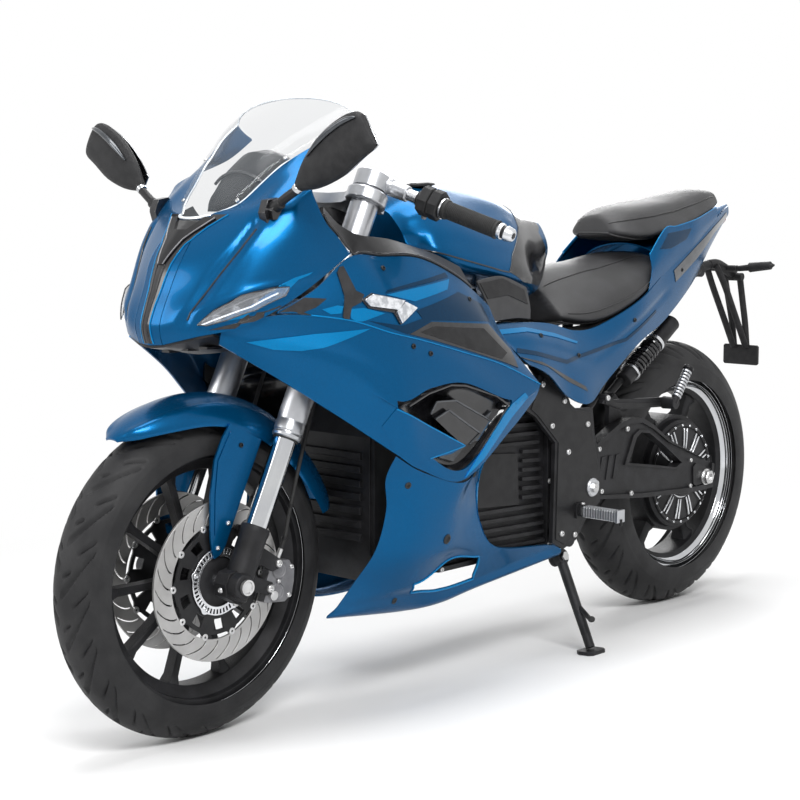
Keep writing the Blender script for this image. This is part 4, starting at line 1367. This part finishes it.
# Hub motor: covers with strip pairs, a ring of screws and a raised boss
b = Build("motor_look", "rear_wheel")
b.lathe([(9.4, -80), (40, -80), (40, -64), (118, -60), (128, -54), (128, 54), (118, 60), (40, 64), (40, 80), (9.4, 80)],
        CAST, REAR_HUB, V(0, 1, 0), 144, closed=True)
for s in (-1, 1):
    c, ax = REAR_HUB, V(0, s, 0)
    b.lathe([(30, 62), (52, 62), (54, 64), (54, 70), (50, 73), (42, 73), (40, 70), (30, 70)], SATIN, c, ax, 72, closed=True)
    b.lathe([(112, 58), (120, 58), (120, 62.5), (117, 64), (112, 62)], SATIN, c, ax, 96, closed=True)
    b.lathe([(54, 62), (57, 62), (57, 66), (54, 66)], ALLOY, c, ax, 72, closed=True)
    for k in range(24):
        q = polar(115.5, 15 * k)
        b.bolt(V(q[0], s * 62.5, REAR_R + q[1]), ax, 3.6, ALLOY, 2.6, 12)
    for k in range(12):
        e, t = polar(1, 30 * k + 8), polar(1, 30 * k + 98)
        for off, h in ((-4.5, 3.2), (4.5, 3.2)):
            a0, a1 = e * 60 + t * off, e * 108 + t * off * 1.4
            b.tube([V(a0[0], s * 64, REAR_R + a0[1]), V((a0[0] + a1[0]) / 2, s * (63.5), REAR_R + (a0[1] + a1[1]) / 2),
                    V(a1[0], s * 61.5, REAR_R + a1[1])], 2.6, ALLOY, 8, 2, scale=(0.8, 1, 1))
    for k in range(6):
        q = polar(47, 60 * k)
        b.bolt(V(q[0], s * 73, REAR_R + q[1]), ax, 3.6, STEEL, 2.6, 12)
b.done(["hub_motor"], 0.5, 35)

# Shock absorbers: body, spring, collars
b = Build("shocks_look", "chassis")
for s in (-1, 1):
    a, c = V(280, s * 92, 560), V(95, s * 92, 680)
    d = unit(c - a)
    L = np.linalg.norm(c - a)
    b.rod(a, a + d * 40, 19, CAST, 19, 36, 1.5)
    b.rod(a + d * 40, c - d * 60, 11, CHROME, 11, 28)
    b.rod(c - d * 75, c, 20, CAST, 20, 36, 1.5)
    b.rod(c - d * 84, c - d * 76, 23.5, ALLOY, 23.5, 36, 1)
    b.rod(a + d * 28, a + d * 34, 23.5, ALLOY, 23.5, 36, 1)
    u, w, _ = basis(d)
    turns = 8.5
    T = np.linspace(0, 1, int(turns * 26))
    spring = [a + d * (36 + t * (L - 124)) + 19 * (math.cos(t * turns * 2 * math.pi) * u
                                                    + math.sin(t * turns * 2 * math.pi) * w) for t in T]
    b.tube(spring, 4.6, GLOSS, 10, 1)
    b.rod(V(332, s * 84.4, 526), V(280, s * 84.4, 560), 9, CAST, 9, 20, 1)
    b.rod(V(332, s * 80, 526), V(332, s * 94.2, 526), 12, CAST, 12, 28, 1)
    b.rod(V(105, s * 76, 674), V(118, s * 76, 735), 8, CAST, 8, 20, 1)
    b.rod(V(97, s * 84, 678), V(97, s * 100, 678), 12, CAST, 12, 28, 1)
    b.bolt(V(97, s * 100, 678), V(0, s, 0), 7, STEEL)
b.done(["rear_shock"], 0.0, 35)

# Foot pegs with ribbed tops, end caps and brackets
b = Build("pegs_look", "chassis")
for s in (-1, 1):
    for k in range(13):
        y = 192 + k * 6.6
        b.prism([(533, 302), (536, 300), (554, 300), (557, 302), (557, 320), (554, 324), (551, 321.5), (548, 324), (545, 321.5),
                 (542, 324), (539, 321.5), (536, 324), (533, 320)], s * y, s * (y + 4.4), SILVER)
    b.prism([(536, 303), (554, 303), (554, 320), (536, 320)], s * 186, s * 280, SILVER)
    b.prism([(532, 299), (558, 299), (558, 325), (532, 325)], s * 277.5, s * 283, SILVER)
    b.rod(V(545, s * 282, 306), V(545, s * 282, 292), 4, SATIN, 3.4, 16)
    b.rod(V(545, s * 173.3, 312), V(545, s * 188, 312), 14, CAST, 13, 28, 1)
    b.prism([(531, 296), (559, 296), (562, 312), (559, 328), (531, 328), (528, 312)], s * 173.3, s * 180, CAST)
    b.bolt(V(545, s * 184, 326), V(0, 0, 1), 5, STEEL)
    plate = [[426, 544], [444, 528], [371, 508], [220, 500], [200, 520], [401, 532]]
    b.prism([(p[0], p[1]) for p in plate], s * 146, s * 156, CAST)
    b.prism([(434, 532), (420, 534), (396, 524), (230, 510), (212, 514), (224, 504), (370, 511), (434, 527)], s * 155.8,
            s * 158, SATIN)
    b.rod(V(428, s * 138.9, 538), V(428, s * 158, 538), 8, CAST, 8, 20, 1)
    b.bolt(V(428, s * 158, 538), V(0, s, 0), 6.5, STEEL)
    b.rod(V(215, s * 155, 510), V(215, s * 190, 510), 14, CAST, 13, 28, 1)
    lo, hi = V(215, s * 182, 510), V(158, s * 182, 584)
    d = unit(hi - lo)
    b.rod(lo, hi, 9, CAST, 9, 20, 1)
    for k in range(9):
        p = lo + d * (16 + 8 * k)
        b.rod(p, p + d * 5.4, 11, SILVER, 11, 20, 0.8)
    b.rod(hi - d * 4, hi + d * 3, 12, SATIN, 12, 24, 1)
b.done(["foot_pegs"], 0.6, 35)

# Side stand
b = Build("stand_look", "side_stand")
hip = V(548, 128, 205)
foot_z = 222 * math.tan(LEAN) - 0.2 / math.cos(LEAN)
toe = V(562, 222, foot_z + 12)
b.lathe([(6.3, -10), (17, -10), (17, 10), (6.3, 10)], CAST, hip, pin, 40, closed=True)
b.tube([hip, hip + 0.3 * (toe - hip), hip + 0.7 * (toe - hip), toe], 11, CAST, 20, 5, scale=(1, 1, 0.95, 0.9))
lean_at = lambda p: V(562, 222, foot_z) + V(p[0], p[1] * math.cos(LEAN) , p[1] * math.sin(LEAN)) + p[2] * V(0, -math.sin(LEAN), math.cos(LEAN))
b.prism([(-30, -12), (-22, -22), (18, -22), (26, -12), (26, 12), (18, 22), (-22, 22), (-30, 12)], 0, 8, CAST, "xy", lean_at)
b.tube([hip + 0.55 * (toe - hip) + V(0, 8, 0), hip + 0.62 * (toe - hip) + V(10, 30, 0), hip + 0.66 * (toe - hip) + V(22, 44, 6)],
       5, CAST, 14, 5)
b.rod(hip + 0.66 * (toe - hip) + V(20, 42, 5), hip + 0.66 * (toe - hip) + V(26, 52, 8), 6.5, RUBBER, 6.5, 16, 1.5)
b.done(["side_stand"], 0.8, 35)

# Number plate carrier (the plate is bare) with indicators
b = Build("carrier_look", "chassis")
b.tube([[-191.8, 0, 800.5], [-235, 0, 800], [-305, 0, 772]], 12, MATT, 20, 5)
b.rod(V(-300, -30, 768), V(-300, 30, 768), 10, MATT, 10, 20, 1)
for s in (-1, 1):
    b.tube([V(-300, s * 22, 768), V(-320, s * 20, 700), V(-334, s * 19, 650), V(-345, s * 18, 588)], 8, MATT, 14, 4)
    b.tube([V(-205, s * 14, 798), V(-238, s * 18, 750), V(-290, s * 18, 670), V(-340, s * 18, 592)], 8, MATT, 14, 4)
    b.rod(V(-262, 0, 790), V(-262, s * 38.3, 790), 8, MATT, 8, 20)
    b.bolt(V(-353.4, s * 40, 580), V(-1, 0, 0), 4, STEEL)
corner = [(-50, 549), (-46, 545), (46, 545), (50, 549), (50, 591), (46, 595), (-46, 595), (-50, 591)]
b.prism(corner, -345, -352, MATT, "yz")
b.prism([(y * 0.94, 570 + (z - 570) * 0.88) for y, z in corner], -351.8, -353.4, SATIN, "yz")
b.done(["plate_carrier"], 0.8, 35)

b = Build("rear_lamps_look", "chassis")
lamp_ring = lambda x, q: [V(x, 26 * q * y, 919 + 19 * q * z) for y, z in
                          ((-1, -0.5), (-0.7, -1), (0.7, -1), (1, -0.5), (1, 0.5), (0.7, 1), (-0.7, 1), (-1, 0.5))]
b.rings(np.array([lamp_ring(-196, 0.9), lamp_ring(-204, 1), (lamp_ring(-228, 0.96)), lamp_ring(-236, 0.8)]), RED)
for k in range(5):
    b.prism([(-18 + 9 * k - 3, 908), (-18 + 9 * k + 3, 908), (-18 + 9 * k + 3, 930), (-18 + 9 * k - 3, 930)], -236.2, -237, LIGHT, "yz")
for s in (-1, 1):
    a, c = V(-262, s * 40, 790), V(-272, s * 128, 800)
    d = unit(c - a)
    b.rod(a, a + d * 34, 7, MATT, 8, 20, 1)
    b.rod(a + d * 30, c, 12, MATT, 10, 28, 2)
    b.rod(a + d * 36 - V(4, 0, 0), c - d * 3 - V(3, 0, 0), 11, CLEAR, 7, 28, 2)
    b.rod(c - d * 4, c + d * 8, 9, SATIN, 2, 28)
b.done(["rear_lamps"], 0.6, 35)

# Tail cheeks beside the pillion's base
CHEEK = [
  [[262, 143, 758], [200, 131, 787], [130, 118, 813], [60, 107, 839], [0, 96, 862], [-120, 69, 915]],
  [[243, 138, 806], [188, 129, 834], [120, 119, 857], [60, 109, 873], [0, 99, 888], [-120, 70, 926]],
  [[230, 122, 838], [158, 112, 894], [110, 108, 899], [60, 103, 906], [0, 95, 916], [-120, 66, 941]]
]
b = Build("tail_cheeks", "chassis")
cheek = grid(CHEEK, 8, 8)
b.sheet(cheek, PANEL_T, TAIL_FOCUS, BLUE)
CHEEK_SKIN = outer_tree(cheek)
b.patch(CHEEK_SKIN, [(196, 850), (150, 884), (40, 894), (70, 870), (150, 850)], NAVY, 1.2, 3)
b.tube(cheek[-1] + V(0, 0, 0.4), 1.6, BRIGHT, 8, 1)
b.done([], 0.8, 40, mirror=True)


# ---------------------------------------------------------------- stage and light
def seen_rays(nt):
    """1 for camera, glossy and transmission rays, 0 for the rays that light the object."""
    lp = nt.nodes.new("ShaderNodeLightPath")
    either = nt.nodes.new("ShaderNodeMath")
    either.operation = "MAXIMUM"
    nt.links.new(lp.outputs["Is Glossy Ray"], either.inputs[0])
    nt.links.new(lp.outputs["Is Transmission Ray"], either.inputs[1])
    seen = nt.nodes.new("ShaderNodeMath")
    seen.operation = "MAXIMUM"
    nt.links.new(lp.outputs["Is Camera Ray"], seen.inputs[0])
    nt.links.new(either.outputs[0], seen.inputs[1])
    return seen.outputs[0]


floor_mesh = bpy.data.meshes.new("floor")
floor_mesh.from_pydata([(-12, -12, 0), (12, -12, 0), (12, 12, 0), (-12, 12, 0)], [], [(0, 1, 2, 3)])
floor = bpy.data.objects.new("floor", floor_mesh)
bpy.context.collection.objects.link(floor)
paper = bpy.data.materials.new("paper")
paper.use_nodes = True
nt = paper.node_tree
out = nt.nodes["Material Output"]
diff = nt.nodes["Principled BSDF"]
diff.inputs["Base Color"].default_value = (0.9, 0.9, 0.9, 1)
diff.inputs["Roughness"].default_value = 0.9
floor_mesh.materials.append(paper)
co = nt.nodes.new("ShaderNodeTexCoord")
far = nt.nodes.new("ShaderNodeVectorMath")
far.operation = "LENGTH"
nt.links.new(co.outputs["Object"], far.inputs[0])
fade = nt.nodes.new("ShaderNodeMapRange")
fade.inputs["From Min"].default_value = 1.35
fade.inputs["From Max"].default_value = 2.7
nt.links.new(far.outputs["Value"], fade.inputs["Value"])
only_seen = nt.nodes.new("ShaderNodeMath")
only_seen.operation = "MULTIPLY"
nt.links.new(fade.outputs[0], only_seen.inputs[0])
nt.links.new(seen_rays(nt), only_seen.inputs[1])
white = nt.nodes.new("ShaderNodeEmission")
blend = nt.nodes.new("ShaderNodeMixShader")
nt.links.new(only_seen.outputs[0], blend.inputs["Fac"])
nt.links.new(diff.outputs[0], blend.inputs[1])
nt.links.new(white.outputs[0], blend.inputs[2])
nt.links.new(blend.outputs[0], out.inputs["Surface"])

world = bpy.data.worlds.new("studio")
bpy.context.scene.world = world
world.use_nodes = True
nt = world.node_tree
bg = nt.nodes["Background"]
bg.inputs["Color"].default_value = (1, 1, 1, 1)
level = nt.nodes.new("ShaderNodeMapRange")
level.inputs["To Min"].default_value = 0.28
level.inputs["To Max"].default_value = 1.0
nt.links.new(seen_rays(nt), level.inputs["Value"])
nt.links.new(level.outputs[0], bg.inputs["Strength"])


def lamp(name, at, aim, size, watts, tall=None):
    d = bpy.data.lights.new(name, "AREA")
    d.energy, d.size = watts, size
    if tall:
        d.shape, d.size_y = "RECTANGLE", tall
    o = bpy.data.objects.new(name, d)
    o.location = at
    o.rotation_mode = "QUATERNION"
    o.rotation_quaternion = (Vector(aim) - Vector(at)).to_track_quat("-Z", "Y")
    bpy.context.collection.objects.link(o)


lamp("key", (2.2, 3.2, 3.4), (0, 0, 0.6), 2.4, 180, 1.2)
lamp("fill", (4.2, -1.5, 2.2), (0.2, 0, 0.5), 2.0, 70)
lamp("top", (0, 0, 4.2), (0, 0, 0), 3.0, 105, 1.6)
lamp("back", (-3.4, -2.4, 2.6), (0, 0, 0.6), 2.0, 60)
bpy.context.scene.view_settings.view_transform = "Standard"
